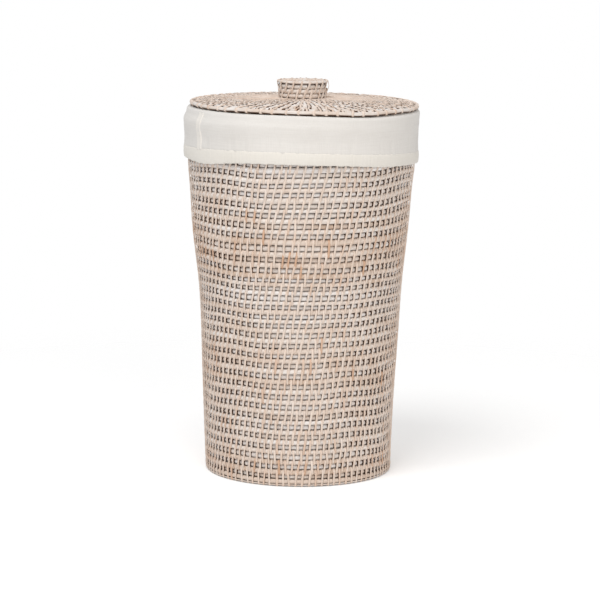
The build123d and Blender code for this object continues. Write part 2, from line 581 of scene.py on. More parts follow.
def joined(parts: list[bpy.types.Object], name: str) -> bpy.types.Object:
    """Joins several objects into one piece.

    Args:
        parts: Objects to join.
        name: Name of the piece.

    Returns:
        The joined piece.
    """
    if len(parts) > 1:
        with bpy.context.temp_override(active_object=parts[0], selected_editable_objects=parts):
            bpy.ops.object.join()
    parts[0].name = name
    parts[0].data.name = name
    return parts[0]


@dataclass(frozen=True)
class Lean:
    """The slight slope of the basket's rim, shared by all that rests on it.

    Attributes:
        slope: Fall per metre towards +X.
        twist: How much steeper it is for each metre towards the front.
        warps: Angle, spread and height of each rise or dip of the edge.
        low: Height below which nothing slopes.
        high: Height above which everything does.
        hub: Radius inside which nothing slopes.
        edge: Radius outside which everything does.
    """

    slope: float = 0.0085
    twist: float = 0.023
    warps: tuple[tuple[float, float, float], ...] = ((-1.68, 0.42, 1.0 * MM), (-0.97, 0.26, -1.2 * MM))
    low: float = 490.0 * MM
    high: float = 555.0 * MM
    hub: float = 45.0 * MM
    edge: float = 130.0 * MM

    def apply(self, mesh: bpy.types.Mesh) -> None:
        """Lowers a mesh's vertices on the one side and lifts them on the other.

        Args:
            mesh: Mesh of a piece.
        """
        points = read_points(mesh)
        radius, angle, height = to_rings(points)
        rim = smooth_step(radius, self.hub, self.edge)
        fall = (self.slope - self.twist * points[:, 1]) * points[:, 0] * rim
        for place, spread, rise in self.warps:
            fall -= rise * rim * bell(angle, place, spread)
        points[:, 2] -= fall * smooth_step(height, self.low, self.high)
        write_points(mesh, points)


LEAN = Lean()


def thicken(piece: bpy.types.Object, thickness: float, offset: float = 0.0) -> None:
    """Gives a sheet its thickness by a live modifier.

    Args:
        piece: The sheet.
        thickness: Thickness of the cloth.
        offset: Zero to spread it to both sides, minus one to keep it inside.
    """
    solid = piece.modifiers.new("cloth", "SOLIDIFY")
    solid.thickness = thickness
    solid.offset = offset


def settle(
    piece: bpy.types.Object, body: Body, material: bpy.types.Material,
    replaces: Sequence[str] = (),
) -> bpy.types.Object:
    """Gives a piece its material, its body and the nodes that it stands for.

    Args:
        piece: The piece.
        body: Body that it moves with.
        material: Its material.
        replaces: Names of the plain solids that it stands for.

    Returns:
        The same piece.
    """
    LEAN.apply(piece.data)
    piece.data.materials.clear()
    piece.data.materials.append(material)
    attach(piece, body.value)
    if replaces:
        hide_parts(*replaces)
    LOG.info("%s: %d faces on %s", piece.name, len(piece.data.polygons), body.value)
    return piece


def repeat_round(bm: bmesh.types.BMesh, count: int) -> None:
    """Repeats all that a mesh holds round the basket's axis.

    Args:
        bm: The mesh.
        count: How many there are then.
    """
    bmesh.ops.spin(
        bm, geom=[*bm.verts, *bm.edges, *bm.faces], cent=ORIGIN, axis=AXIS, use_duplicate=True,
        angle=math.tau * (count - 1) / count, steps=count - 1,
    )


def spin_profile(bm: bmesh.types.BMesh, profile: Sequence[tuple[float, float]], steps: int) -> None:
    """Turns an open profile once round the basket's axis, one sector first and then its copies.

    Args:
        bm: Mesh that gets the shell.
        profile: Radius and height of each point.
        steps: Steps in the turn.
    """
    most_sectors = 20
    sectors = math.gcd(steps, most_sectors)
    verts = [bm.verts.new((radius, 0.0, height)) for radius, height in profile]
    edges = [bm.edges.new(pair) for pair in zip(verts, verts[1:])]
    bmesh.ops.spin(
        bm, geom=[*verts, *edges], cent=ORIGIN, axis=AXIS, angle=math.tau / sectors, steps=steps // sectors
    )
    if sectors > 1:
        repeat_round(bm, sectors)
    bmesh.ops.remove_doubles(bm, verts=bm.verts, dist=MERGE)


class Drift:
    """Smooth uneven drift round several rings, each with its own waves."""

    def __init__(self, rng: np.random.Generator, rings: int, harmonics: Sequence[int], size: float) -> None:
        """Draws the waves of each ring.

        Args:
            rng: Source of the draws.
            rings: Number of rings.
            harmonics: Waves round a ring.
            size: How far the drift goes, about.
        """
        self.harmonics = np.array(harmonics, dtype=np.float64)
        shape = (rings, len(harmonics))
        self.phase = rng.uniform(0.0, math.tau, shape)
        self.weight = rng.normal(0.0, size / math.sqrt(len(harmonics)), shape)

    def at(self, angle: Points, ring: int = 0) -> Points:
        """Gives the drift of each point.

        Args:
            angle: Its angle about the axis.
            ring: The ring that the points are on.

        Returns:
            The drift.
        """
        waves = np.sin(angle[:, None] * self.harmonics + self.phase[ring])
        return (self.weight[ring] * waves).sum(axis=1)


@dataclass
class HandMade:
    """The slow unevenness of a wall that was woven by hand, shared by its rods and strips.

    Attributes:
        low: Height below which the wall is true.
        high: Height above which it is true.
        rise: How far courses stray up and down.
        swell: How far the wall strays in and out.
        belly: How far it swells on its +X side, below the flare.
        belly_place: Its height, as a share of the wall's.
        belly_spread: How far it reaches up and down, as a share.
        front: Angle about the front within which the courses stray little.
        ends: Share of the wall at its foot and rim that eases into the true one.
        climb_heights: Heights at which the courses' climb towards +X is given.
        climbs: Their climb there, per metre.
        seed: Seed of the waves.
        waves: Waves that add up to the unevenness.
    """

    low: float
    high: float
    rise: float = 1.1 * MM
    swell: float = 0.6 * MM
    belly: float = 2.2 * MM
    belly_place: float = 0.42
    belly_spread: float = 0.17
    front: float = 0.4
    ends: float = 0.06
    climb_heights: tuple[float, ...] = (0.0, 0.15, 0.2, 0.29, 0.34, 0.39, 0.44)
    climbs: tuple[float, ...] = (0.0, 0.007, 0.005, 0.0, 0.007, 0.012, 0.015)
    seed: int = 41
    waves: int = 14

    def __post_init__(self) -> None:
        """Draws the waves."""
        rng = np.random.default_rng(self.seed)
        self.turns = rng.integers(1, 8, (2, self.waves)).astype(np.float64)
        self.pitches = rng.uniform(-5.0, 5.0, (2, self.waves))
        self.phase = rng.uniform(0.0, math.tau, (2, self.waves))

    def _field(self, which: int, angle: Points, share: Points) -> Points:
        """Adds up one set of waves.

        Args:
            which: Zero for up and down, one for in and out.
            angle: Angle of each point.
            share: Height of each point as a share of the wall.

        Returns:
            Values of about one in size.
        """
        total = np.zeros_like(angle)
        for turns, pitch, phase in zip(self.turns[which], self.pitches[which], self.phase[which]):
            total += np.sin(turns * angle + pitch * math.pi * share + phase)
        return total * math.sqrt(2.0 / self.waves)

    def apply(self, mesh: bpy.types.Mesh) -> None:
        """Moves a mesh's vertices from the true wall to the uneven one.

        Args:
            mesh: Mesh of some rods or strips of the wall.
        """
        points = read_points(mesh)
        radius, angle, height = to_rings(points)
        share = (height - self.low) / (self.high - self.low)
        free = smooth_step(share, 0.0, self.ends) * smooth_step(1.0 - share, 0.0, self.ends)
        astray = 1.0 - bell(turn_from(angle, -math.pi / 2), 0.0, self.front)
        side = smooth_step(np.cos(angle), 0.3, 1.0) * bell(share, self.belly_place, self.belly_spread)
        radius += self.swell * free * self._field(1, angle, share) + self.belly * side
        climb = np.interp(height, self.climb_heights, self.climbs)
        height += free * (self.rise * astray * self._field(0, angle, share) + climb * points[:, 0])
        write_points(mesh, from_rings(radius, angle, height))


@dataclass(frozen=True)
class Rod:
    """A ring of rattan rod about the basket's axis.

    Attributes:
        ring: Radius of the ring's centre line.
        height: Height of the centre line.
        radius: Radius of the rod.
        tone: Zero where its whitewash is thick, one where the cane shows through.
    """

    ring: float
    height: float
    radius: float
    tone: float = 0.45


@dataclass(frozen=True)
class Looks:
    """The materials of the rattan.

    Attributes:
        rod: Material of the rods.
        peel: Material of the strips.
    """

    rod: bpy.types.Material
    peel: bpy.types.Material


# How far the streaks of one rod, of one loop and along each millimetre of a loop lie apart in their noise
ROD_APART = 1.7
LOOP_APART = 2.3
LENGTH_APART = 0.031

# Steps round a rod at each strip, in half widths of its bare place, and the share of whitewash at each; the
# bare place is dark cane that also serves as painted shade under the strip
TIE_STEPS = (-1.1, -0.75, 0.75, 1.1)
TIE_WASH_AND_SHADE = (1.0, 0.0, 0.0, 1.0)


@dataclass
class RodCourse:
    """Rings of rod that lie beside each other.

    Attributes:
        rods: The rings.
        show: The side that is whitewashed.
        seed: Seed of their drift and tones.
        steps: Steps round each ring.
        sides: Sides of a rod's section.
        wander: How far a rod strays.
        waves: Waves round the ring by which it strays.
        brush_and_shade: Cosines of the turn from the side on show between which the whitewash runs out into
            dark cane, which is also painted shade on the rod's far sides.
        ties: Angles at which strips pass in front of a rod and keep the whitewash off it, leaving painted
            shade under them.
        tie_width: Width that they keep bare and dark.
        tone_waves: Waves round the ring by which its tone drifts.
        tone_drift: How far the tone drifts along a rod, and from rod to rod.
    """

    rods: list[Rod]
    show: Show
    seed: int
    steps: int = 144
    sides: int = 8
    wander: float = 0.22 * MM
    waves: tuple[int, ...] = (2, 3, 5, 8)
    brush_and_shade: tuple[float, float] = (-0.35, 0.55)
    ties: dict[Rod, Points] | None = None
    tie_width: float = 3.0 * MM
    tone_waves: tuple[int, ...] = (1, 2, 4, 7, 11)
    tone_drift: float = 0.18

    def __post_init__(self) -> None:
        """Draws how the rods stray and how their tone drifts."""
        rng = np.random.default_rng(self.seed)
        count = len(self.rods)
        self.rising = Drift(rng, count, self.waves, self.wander)
        self.swelling = Drift(rng, count, self.waves, self.wander)
        self.toning = Drift(rng, count, self.tone_waves, self.tone_drift)
        own = rng.uniform(-self.tone_drift, self.tone_drift, count)
        self.tones = np.array([rod.tone for rod in self.rods]) + own

    def build(self, name: str) -> bpy.types.Object:
        """Builds the rings as one piece.

        Args:
            name: Name of the piece.

        Returns:
            The piece, with its tones stored in its mesh.
        """
        rings = []
        for index, rod in enumerate(self.rods):
            crossings = (self.ties or {}).get(rod)
            steps = self.steps if crossings is None else len(TIE_STEPS) * len(crossings)
            ring = finished(self._ring(rod, steps), f"{name}_{index}")
            self._weather(ring.data, index, crossings)
            rings.append(ring)
        return joined(rings, name)

    def _ring(self, rod: Rod, steps: int) -> bmesh.types.BMesh:
        """Spins one rod's round section about the axis.

        Args:
            rod: The rod.
            steps: Steps round the ring.

        Returns:
            The mesh under construction.
        """
        bm = bmesh.new()
        place = Matrix.Translation((rod.ring, 0.0, rod.height)) @ Matrix.Rotation(math.pi / 2, 4, "X")
        verts = bmesh.ops.create_circle(bm, segments=self.sides, radius=rod.radius, matrix=place)["verts"]
        edges = list({edge for vert in verts for edge in vert.link_edges})
        bmesh.ops.spin(
            bm, geom=[*verts, *edges], cent=ORIGIN, axis=AXIS, angle=math.tau, steps=steps, use_merge=True
        )
        return bm

    def _bare_shaded_places(self, rod: Rod, crossings: Points) -> tuple[Points, Points]:
        """Lists the steps round a ring so that the cane under its strips stays bare and dark, as painted
        shade of the hollows under them.

        Args:
            rod: The ring.
            crossings: Angles of the strips.

        Returns:
            Angle of each step, and its share of whitewash.
        """
        most = 0.28  # Half width of a bare place, as a share of the distance to the next strip
        places = np.sort(np.mod(crossings, math.tau))
        ahead = np.diff(np.append(places, places[0] + math.tau))
        room = most * np.minimum(ahead, np.roll(ahead, 1))
        half = np.minimum(self.tie_width / 2 / rod.ring, room)
        steps = places[:, None] + half[:, None] * np.array(TIE_STEPS)
        return steps.ravel(), np.tile(TIE_WASH_AND_SHADE, len(places))

    def _weather(self, mesh: bpy.types.Mesh, index: int, crossings: Points | None) -> None:
        """Lets a rod stray a little and stores its tone, and its whitewash together with the painted shade.

        Args:
            mesh: The rod's mesh, true so far.
            index: Which rod it is.
            crossings: Angles of the strips in front of it, if any.
        """
        rod = self.rods[index]
        radius, angle, height = to_rings(read_points(mesh))
        out, up = self.show.value
        facing = (radius - rod.ring) * out + (height - rod.height) * up
        aside = (height - rod.height) * out - (radius - rod.ring) * up
        turn = np.arctan2(aside, facing)
        # Painted shade: away from the side on show the rod fades to dark cane, for unwashed cane and for the
        # shade in the slits between rods.
        wash_and_shade = smooth_step(np.cos(turn), *self.brush_and_shade)
        # Painted shade: the cane under each strip stays dark, for bare cane and for the hollow between strip
        # and rod.
        if crossings is not None:
            steps, paint_and_shade_shares = self._bare_shaded_places(rod, crossings)
            step = np.round(angle * len(steps) / math.tau).astype(int) % len(steps)
            angle = steps[step]
            wash_and_shade *= paint_and_shade_shares[step]
        tone = self.tones[index] + self.toning.at(angle, index)
        height += self.rising.at(angle, index)
        radius += self.swelling.at(angle, index)
        write_points(mesh, from_rings(radius, angle, height))
        write_numbers(mesh, "across", turn / math.tau + ROD_APART * index)
        write_numbers(mesh, "wash_and_shade", wash_and_shade)
        write_numbers(mesh, "tone", np.clip(tone, 0.0, 1.0))


@dataclass(frozen=True)
class Peel:
    """A flat strip of rattan peel.

    Attributes:
        width: Width of the strip.
        thickness: Thickness at its crown.
        sag: How far it dips between the two rods that hold it.
    """

    width: float = 2.5 * MM
    thickness: float = 0.9 * MM
    sag: float = 0.25 * MM

    def section(self) -> list[tuple[float, float]]:
        """Gives the strip's crowned section.

        Returns:
            Its corners as (across, above).
        """
        half = self.width / 2
        low = -self.thickness / 2
        shoulder = 0.1 * self.thickness
        return [(-half, low), (-0.9 * half, shoulder), (0.0, -low), (0.9 * half, shoulder), (half, low)]


@dataclass(frozen=True)
class Band:
    """A row of peel loops that tie neighbouring rods together.

    Attributes:
        rods: The rods inside the loops, from first to last.
        count: Loops round the ring.
        turn: Angle of the first loop.
        lean: Slant of the loops along the ring.
        tone: How much barer than others its loops are.
    """

    rods: tuple[Rod, ...]
    count: int
    turn: float
    lean: float = 0.0
    tone: float = 0.0


@dataclass(frozen=True)
class LoopRow:
    """How the loops of one band differ.

    Attributes:
        angle: Where each loop crosses the middle of its band.
        slant: Its slant along the ring.
        width: Its width, as a share of the strip's.
        tone: Zero where its whitewash is thick, one where the cane shows through.
    """

    angle: Points
    slant: Points
    width: Points
    tone: Points


@dataclass(frozen=True)
class Station:
    """One place along a loop of peel.

    Attributes:
        place: Radius and height.
        outward: Way that the strip's outer face looks there.
        wash_and_shade: How much paint reaches it; it is less where the loop turns behind its rods, which is
            also painted shade there.
        rise: Distance from the loop's middle along the loop's length.
    """

    place: Vector
    outward: Vector
    wash_and_shade: float
    rise: float


@dataclass
class Lashing:
    """Bands of peel loops.

    Attributes:
        bands: The bands.
        peel: The strip that they are made of.
        seed: Seed of their unevenness.
        stray: How far loops stray along the ring, as a share of their spacing.
        sway: How far their slant varies, in radians.
        wrap: How much further round the rods the whitewash reaches before the loop darkens as painted shade.
        tan_runs: Short runs of barely washed loops in each band.
        widths: Least and most width of a loop, as a share of the strip's.
        tan_tones: Least and most tone of a barely washed run.
        end_turns: Degrees round the first and the last rod at which a loop is bent.
    """

    bands: list[Band]
    peel: Peel
    seed: int
    stray: float = 0.09
    sway: float = 0.06
    wrap: float = 0.0
    tan_runs: int = 0
    widths: tuple[float, float] = (0.85, 1.1)
    tan_tones: tuple[float, float] = (0.8, 1.0)
    end_turns: tuple[float, ...] = (0.0, 45.0, 90.0, 135.0, 180.0)

    def __post_init__(self) -> None:
        """Draws the loops of every band."""
        rng = np.random.default_rng(self.seed)
        self.rows = [self._draw(band, rng) for band in self.bands]

    def _draw(self, band: Band, rng: np.random.Generator) -> LoopRow:
        """Draws the loops of one band.

        Args:
            band: The band.
            rng: Source of the draws.

        Returns:
            How its loops differ.
        """
        spacing = math.tau / band.count
        angle = np.arange(band.count) * spacing + band.turn
        angle += rng.normal(0.0, self.stray * spacing, band.count)
        slant = band.lean + rng.normal(0.0, self.sway, band.count)
        width = rng.uniform(*self.widths, band.count)
        tone = rng.beta(2.0, 2.6, band.count)
        for start in rng.integers(0, band.count, self.tan_runs):
            run = np.arange(start, start + rng.integers(1, 4)) % band.count
            tone[run] = rng.uniform(*self.tan_tones)
        return LoopRow(angle, slant, width, np.clip(tone + band.tone, 0.0, 1.0))

    def crossings(self, start: int = 1) -> dict[Rod, Points]:
        """Gives the angles at which strips pass in front of rods.

        Args:
            start: First rod of each band to list; its last rod belongs to the next band.

        Returns:
            The angles for each rod.
        """
        pairs = zip(self.bands, self.rows)
        return {rod: row.angle for band, row in pairs for rod in band.rods[start:-1]}

    def build(self, name: str) -> bpy.types.Object:
        """Builds all bands as one piece.

        Args:
            name: Name of the piece.

        Returns:
            The piece, with its tones stored in its mesh.
        """
        parts = []
        for index, (band, row) in enumerate(zip(self.bands, self.rows)):
            part = finished(self._loops(band), f"{name}_{index}")
            self._scatter(part.data, band, row)
            parts.append(part)
        return joined(parts, name)

    def _stations(self, band: Band) -> list[Station]:
        """Lists the places that a loop passes, once round its rods.

        Args:
            band: The loop's band.

        Returns:
            The places, from the last rod's front round the back.
        """
        centres = [Vector((rod.ring, rod.height)) for rod in band.rods]
        along = (centres[-1] - centres[0]).normalized()
        show = Vector((along.y, -along.x))
        middle = (centres[0] + centres[-1]) / 2
        lift = self.peel.thickness / 2
        stations = []

        def add(centre: Vector, reach: float, degrees: float) -> None:
            """Adds the place at one angle round a rod.

            Args:
                centre: Centre of the rod.
                reach: Distance from it.
                degrees: The angle, zero in front.
            """
            angle = math.radians(degrees)
            outward = show * math.cos(angle) + along * math.sin(angle)
            place = centre + outward * reach
            # Painted shade: the loop darkens where it turns behind its rods, for unwashed cane and for the
            # shade there.
            wash_and_shade = min(1.0, 0.5 + 0.5 * math.cos(angle) + self.wrap)
            stations.append(Station(place, outward, wash_and_shade, (place - middle).dot(along)))

        for degrees in self.end_turns:
            add(centres[-1], band.rods[-1].radius + lift, degrees)
        for centre, rod in zip(centres[-2:0:-1], band.rods[-2:0:-1]):
            add(centre, rod.radius + lift, 180.0)
        for degrees in self.end_turns:
            add(centres[0], band.rods[0].radius + lift, 180.0 + degrees)
        first = centres[0] + show * (band.rods[0].radius + lift)
        last = centres[-1] + show * (band.rods[-1].radius + lift)
        for centre, rod in zip(centres[1:-1], band.rods[1:-1]):
            share = (centre - centres[0]).dot(along) / (centres[-1] - centres[0]).length
            taut = (first.lerp(last, share) - centre).dot(show)
            add(centre, max(rod.radius + lift, taut - self.peel.sag), 360.0)
        return stations

    def _loops(self, band: Band) -> bmesh.types.BMesh:
        """Bends one strip round its rods and repeats it round the ring.

        Args:
            band: The strip's band.

        Returns:
            The mesh under construction.
        """
        bm = bmesh.new()
        layers = {key: bm.verts.layers.float.new(key) for key in ("across", "wash_and_shade", "rise")}
        stations = self._stations(band)
        count = len(stations)
        hub = 10 * MM  # Radius of the plain ring that is bent to shape
        verts = [bm.verts.new((hub + above, across, 0.0)) for across, above in self.peel.section()]
        edges = [bm.edges.new(pair) for pair in zip(verts, [*verts[1:], verts[0]])]
        bmesh.ops.spin(
            bm, geom=[*verts, *edges], cent=ORIGIN, axis=(0.0, 1.0, 0.0), angle=math.tau, steps=count,
            use_merge=True,
        )
        for vert in bm.verts:
            step = round(math.atan2(vert.co.z, vert.co.x) * count / math.tau) % count
            station = stations[step]
            above = math.hypot(vert.co.x, vert.co.z) - hub
            place = station.place + station.outward * above
            vert[layers["across"]] = vert.co.y / self.peel.width
            vert[layers["wash_and_shade"]] = station.wash_and_shade
            vert[layers["rise"]] = station.rise
            vert.co = (place.x, vert.co.y, place.y)
        repeat_round(bm, band.count)
        return bm

    def _scatter(self, mesh: bpy.types.Mesh, band: Band, row: LoopRow) -> None:
        """Gives each loop of a band its own place, slant, width and tone.

        Args:
            mesh: The band's mesh, with its loops alike.
            band: The band.
            row: How its loops differ.
        """
        radius, angle, height = to_rings(read_points(mesh))
        rise = read_numbers(mesh, "rise")
        spacing = math.tau / band.count
        loop = np.round(angle / spacing).astype(int)
        local = angle - loop * spacing
        loop %= band.count
        turned = row.angle[loop] + local * row.width[loop]
        least_radius = 5 * MM
        turned += rise * np.tan(row.slant[loop]) / np.maximum(radius, least_radius)
        across = read_numbers(mesh, "across") + LOOP_APART * loop + LENGTH_APART * rise / MM
        write_points(mesh, from_rings(radius, turned, height))
        write_numbers(mesh, "tone", row.tone[loop])
        write_numbers(mesh, "across", across)
        mesh.attributes.remove(mesh.attributes["rise"])


# Heights of the gaps between the wall's rods, from the foot up to the hem, in millimetres
WALL_GAPS = (
    3.9, 11.5, 17.9, 25.9, 33.6, 40.6, 49.2, 56.6, 64.1, 72.1, 79.5, 87.3, 95.4, 102.2, 110.0, 118.0,
    125.8, 133.8, 141.3, 149.6, 157.4, 164.9, 172.7, 181.3, 189.0, 196.7, 203.1, 212.0, 218.9, 227.1,
    234.9, 242.6, 249.5, 256.1, 262.8, 270.8, 277.3, 283.8, 292.6, 299.6, 305.9, 312.1, 318.2, 326.0,
    333.9, 342.6, 350.4, 359.4, 368.4, 378.2, 385.5, 393.1, 401.2, 409.4, 417.4, 423.7, 431.1, 440.8,
    447.7, 454.7, 461.3, 469.7, 476.3, 485.8,
)


@dataclass
class WovenBasket:
    """The woven body: foot, coiled floor, lashed wall and rim.

    Attributes:
        foot_radius: Outer radius at the floor.
        taper: Growth of the radius with height.
        flare_step: Extra radius above the flare.
        flare_height: Height of the flare's middle.
        flare_length: Length over which the flare eases.
        lip_step: Extra radius towards the rim.
        lip_height: Height of the lip's middle.
        lip_length: Length over which the lip eases.
        hip: Extra radius just under the hem.
        hip_height: Height of its middle.
        hip_length: Length over which it eases.
        hidden_rods: Rods between the hem's lower edge and the rim.
        recess: How far every second rod lies behind the ones that hold the strips.
        depth: Depth of the rods behind the strips.
        slit: Mean gap between rods.
        slit_range: Least and most gap, as a share of the mean.
        tied_tones: Least and most tone of the rods that hold the strips.
        window_tones: Least and most tone of the rods between them.
        foot_recess: How far the lowest rod lies behind the strips.
        foot_rod_radius: Radius of the foot's inner rod.
        loops: Peel loops round the wall.
        loop_step: How far loops move on from band to band, as a share of their spacing.
        leans: Slant of the loops at the foot and at the rim.
        tone_heights: Heights at which the wash's change with height is given.
        tone_shifts: How much barer the cane is there.
        peel: The strip that ties the wall.
        floor_rod_radius: Radius of the floor's rod.
        floor_pitch: Distance between the floor's rings.
        floor_peel: The strip that ties the floor.
        floor_spacing: Distance between the floor's loops.
        seed: Seed of the rods' sizes and tones.
    """

    foot_radius: float = 143.9 * MM
    taper: float = 0.0315
    flare_step: float = 12.0 * MM
    flare_height: float = 333.0 * MM
    flare_length: float = 31.5 * MM
    lip_step: float = 2.0 * MM
    lip_height: float = 470.0 * MM
    lip_length: float = 14.0 * MM
    hip: float = 1.3 * MM
    hip_height: float = 472.0 * MM
    hip_length: float = 26.0 * MM
    hidden_rods: int = 9
    recess: float = 2.9 * MM
    depth: float = 10.2 * MM
    slit: float = 0.4 * MM
    slit_range: tuple[float, float] = (0.6, 1.4)
    tied_tones: tuple[float, float] = (0.3, 0.85)
    window_tones: tuple[float, float] = (0.0, 0.45)
    foot_recess: float = 0.6 * MM
    foot_rod_radius: float = 3.6 * MM
    loops: int = 91
    loop_step: float = 0.35
    leans: tuple[float, float] = (math.radians(2.0), math.radians(9.5))
    tone_heights: tuple[float, ...] = (0.01, 0.04, 0.107, 0.151, 0.233, 0.278, 0.35, 0.404, 0.459)
    tone_shifts: tuple[float, ...] = (0.4, 0.0, -0.1, 0.15, 0.0, -0.25, 0.3, 0.05, -0.25)
    peel: Peel = Peel(3.4 * MM, 0.8 * MM, 0.25 * MM)
    floor_rod_radius: float = 2.5 * MM
    floor_pitch: float = 5.9 * MM
    floor_peel: Peel = Peel(2.4 * MM, 0.7 * MM, 0.1 * MM)
    floor_spacing: float = 13.0 * MM
    seed: int = 17

    def __post_init__(self) -> None:
        """Reads the heights of the rim."""
        self.rim_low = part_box("rim_hoop")[0][2]
        self.rim_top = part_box("rim_hoop")[1][2]
        self.hand = HandMade(0.0, self.rim_top)

    def outer_radius(self, height: float) -> float:
        """Gives the wall's outer radius.

        Args:
            height: Height on the wall.

        Returns:
            The radius there.
        """
        flare = self.flare_step * past(height, self.flare_height, self.flare_length)
        lip = self.lip_step * past(height, self.lip_height, self.lip_length)
        hip = self.hip * float(bell(height, self.hip_height, self.hip_length))
        return self.foot_radius + self.taper * height + (flare + lip + hip)

    def back_radius(self, height: float) -> float:
        """Gives the radius just inside the wall's rods and loops at a height."""
        return self.outer_radius(height) - self.depth - 2 * self.peel.thickness

    def tone_shift(self, height: float) -> float:
        """Gives how much barer than elsewhere the cane is at a height."""
        return float(np.interp(height, self.tone_heights, self.tone_shifts))

    def wall_rods(self) -> list[Rod]:
        """Lists the wall's rods from the foot to the rim, one between each two gaps.

        Returns:
            The rods, with the foot rod first and the rim rod last.
        """
        rng = np.random.default_rng(self.seed)
        skin = self.peel.thickness
        seen = np.array(WALL_GAPS) * MM
        hidden = np.linspace(seen[-1], self.rim_low, self.hidden_rods + 1)[1:]
        marks = np.concatenate([[skin], seen, hidden, [self.rim_top - skin]])
        rods = []
        for index, (low, high) in enumerate(zip(marks, marks[1:])):
            tied = index % 2 == 1
            level = float(low + high) / 2
            radius = float(high - low - self.slit * rng.uniform(*self.slit_range)) / 2
            back = 0.0 if tied else max(0.0, min(self.recess, self.depth - 2 * radius))
            tone = rng.uniform(*(self.tied_tones if tied else self.window_tones)) + self.tone_shift(level)
            if index == 0:
                back = self.foot_recess
            rods.append(Rod(self.outer_radius(level) - skin - back - radius, level, radius, tone))
        return rods

    def build(self, looks: Looks) -> None:
        """Builds and dresses every piece of the body.

        Args:
            looks: Materials of the rattan.
        """
        rods = self.wall_rods()
        lashings = self._lash_wall(rods)
        ties = {rod: angles for lashing in lashings for rod, angles in lashing.crossings().items()}
        middle = len(rods) // 2
        for part, some in enumerate((rods[1:middle], rods[middle:-1])):
            # Painted shade: the rods between the tied ones stay dark under each strip, which draws the dark
            # hollows beside the strips as well as bare cane.
            course = RodCourse(some, Show.OUTWARD, seed=7 + 30 * part, ties=ties, tie_width=self.peel.width)
            wall = course.build(f"wall_rods_{part + 1}")
            self.hand.apply(wall.data)
            settle(wall, Body.BASKET, looks.rod, ["wall"])
        thick = self.foot_rod_radius
        feet = [rods[0], Rod(rods[1].ring - 2.2 * thick, thick, thick)]
        # Painted shade: the foot rods are whitewashed only near their outer top corner, so their undersides
        # go dark as the contact shadow at the floor as well as unwashed cane.
        foot = RodCourse(feet, Show.CORNER, seed=8, sides=12, brush_and_shade=(0.3, 0.9)).build("foot_rods")
        settle(foot, Body.BASKET, looks.rod, ["foot_hoop"])
        rim = RodCourse([rods[-1]], Show.OUTWARD, seed=9, sides=12).build("rim_rod")
        settle(rim, Body.BASKET, looks.rod, ["rim_hoop"])
        for part, lashing in enumerate(lashings):
            strips = lashing.build(f"wall_lashing_{part + 1}")
            self.hand.apply(strips.data)
            settle(strips, Body.BASKET, looks.peel)
        self._coil_floor(looks)

    def _lash_wall(self, rods: list[Rod]) -> list[Lashing]:
        """Ties the wall's rods together, four at the foot and three at a time above.

        Args:
            rods: The rods from the foot to the rim.

        Returns:
            The lashing of the lower, the middle and the upper third.
        """
        spacing = math.tau / self.loops
        bands = [Band(tuple(rods[:4]), self.loops, 0.0, self.leans[0])]
        for index in range(3, len(rods) - 2, 2):
            turn = self.loop_step * spacing * (index - 1) / 2
            share = rods[index].height / self.rim_top
            lean = self.leans[0] + (self.leans[1] - self.leans[0]) * share
            tone = self.tone_shift(rods[index + 1].height)
            bands.append(Band(tuple(rods[index:index + 3]), self.loops, turn, lean, tone))
        third = math.ceil(len(bands) / 3)
        thirds = [bands[start:start + third] for start in range(0, len(bands), third)]
        return [
            Lashing(some, self.peel, seed=20 + part, stray=0.07, tan_runs=1)
            for part, some in enumerate(thirds)
        ]

    def _coil_floor(self, looks: Looks) -> None:
        """Builds the coiled floor with its radial lashing.

        Args:
            looks: Materials of the rattan.
        """
        low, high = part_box("floor_disc")
        middle = (low[2] + high[2]) / 2
        outer = high[0] - self.floor_rod_radius - 0.8 * MM
        rings = [outer - self.floor_pitch * index for index in range(int(outer / self.floor_pitch))]
        rods = [Rod(ring, middle, self.floor_rod_radius) for ring in rings]
        coil = RodCourse(rods, Show.UPWARD, seed=31, steps=96).build("floor_coil")
        settle(coil, Body.BASKET, looks.rod, ["floor_disc"])
        bands = radial_bands(rods, self.floor_spacing)
        lashing = Lashing(bands, self.floor_peel, seed=32).build("floor_lashing")
        settle(lashing, Body.BASKET, looks.peel)


def radial_bands(rods: Sequence[Rod], spacing: float, most: int = 60, step: float = 0.74) -> list[Band]:
    """Ties flat rings together by radial loops, three rods at a time, from the outside in.

    Args:
        rods: Rings from the outermost to the innermost.
        spacing: Distance between loops.
        most: Most loops in one band.
        step: How far loops move on from band to band, as a share of their spacing.

    Returns:
        The bands.
    """
    least, lean = 6, 0.08
    bands = []
    for index in range(0, len(rods) - 2, 2):
        three = tuple(rods[index:index + 3])
        count = max(least, min(most, round(math.tau * three[1].ring / spacing)))
        bands.append(Band(three, count, step * index / 2 * math.tau / count, lean))
    return bands


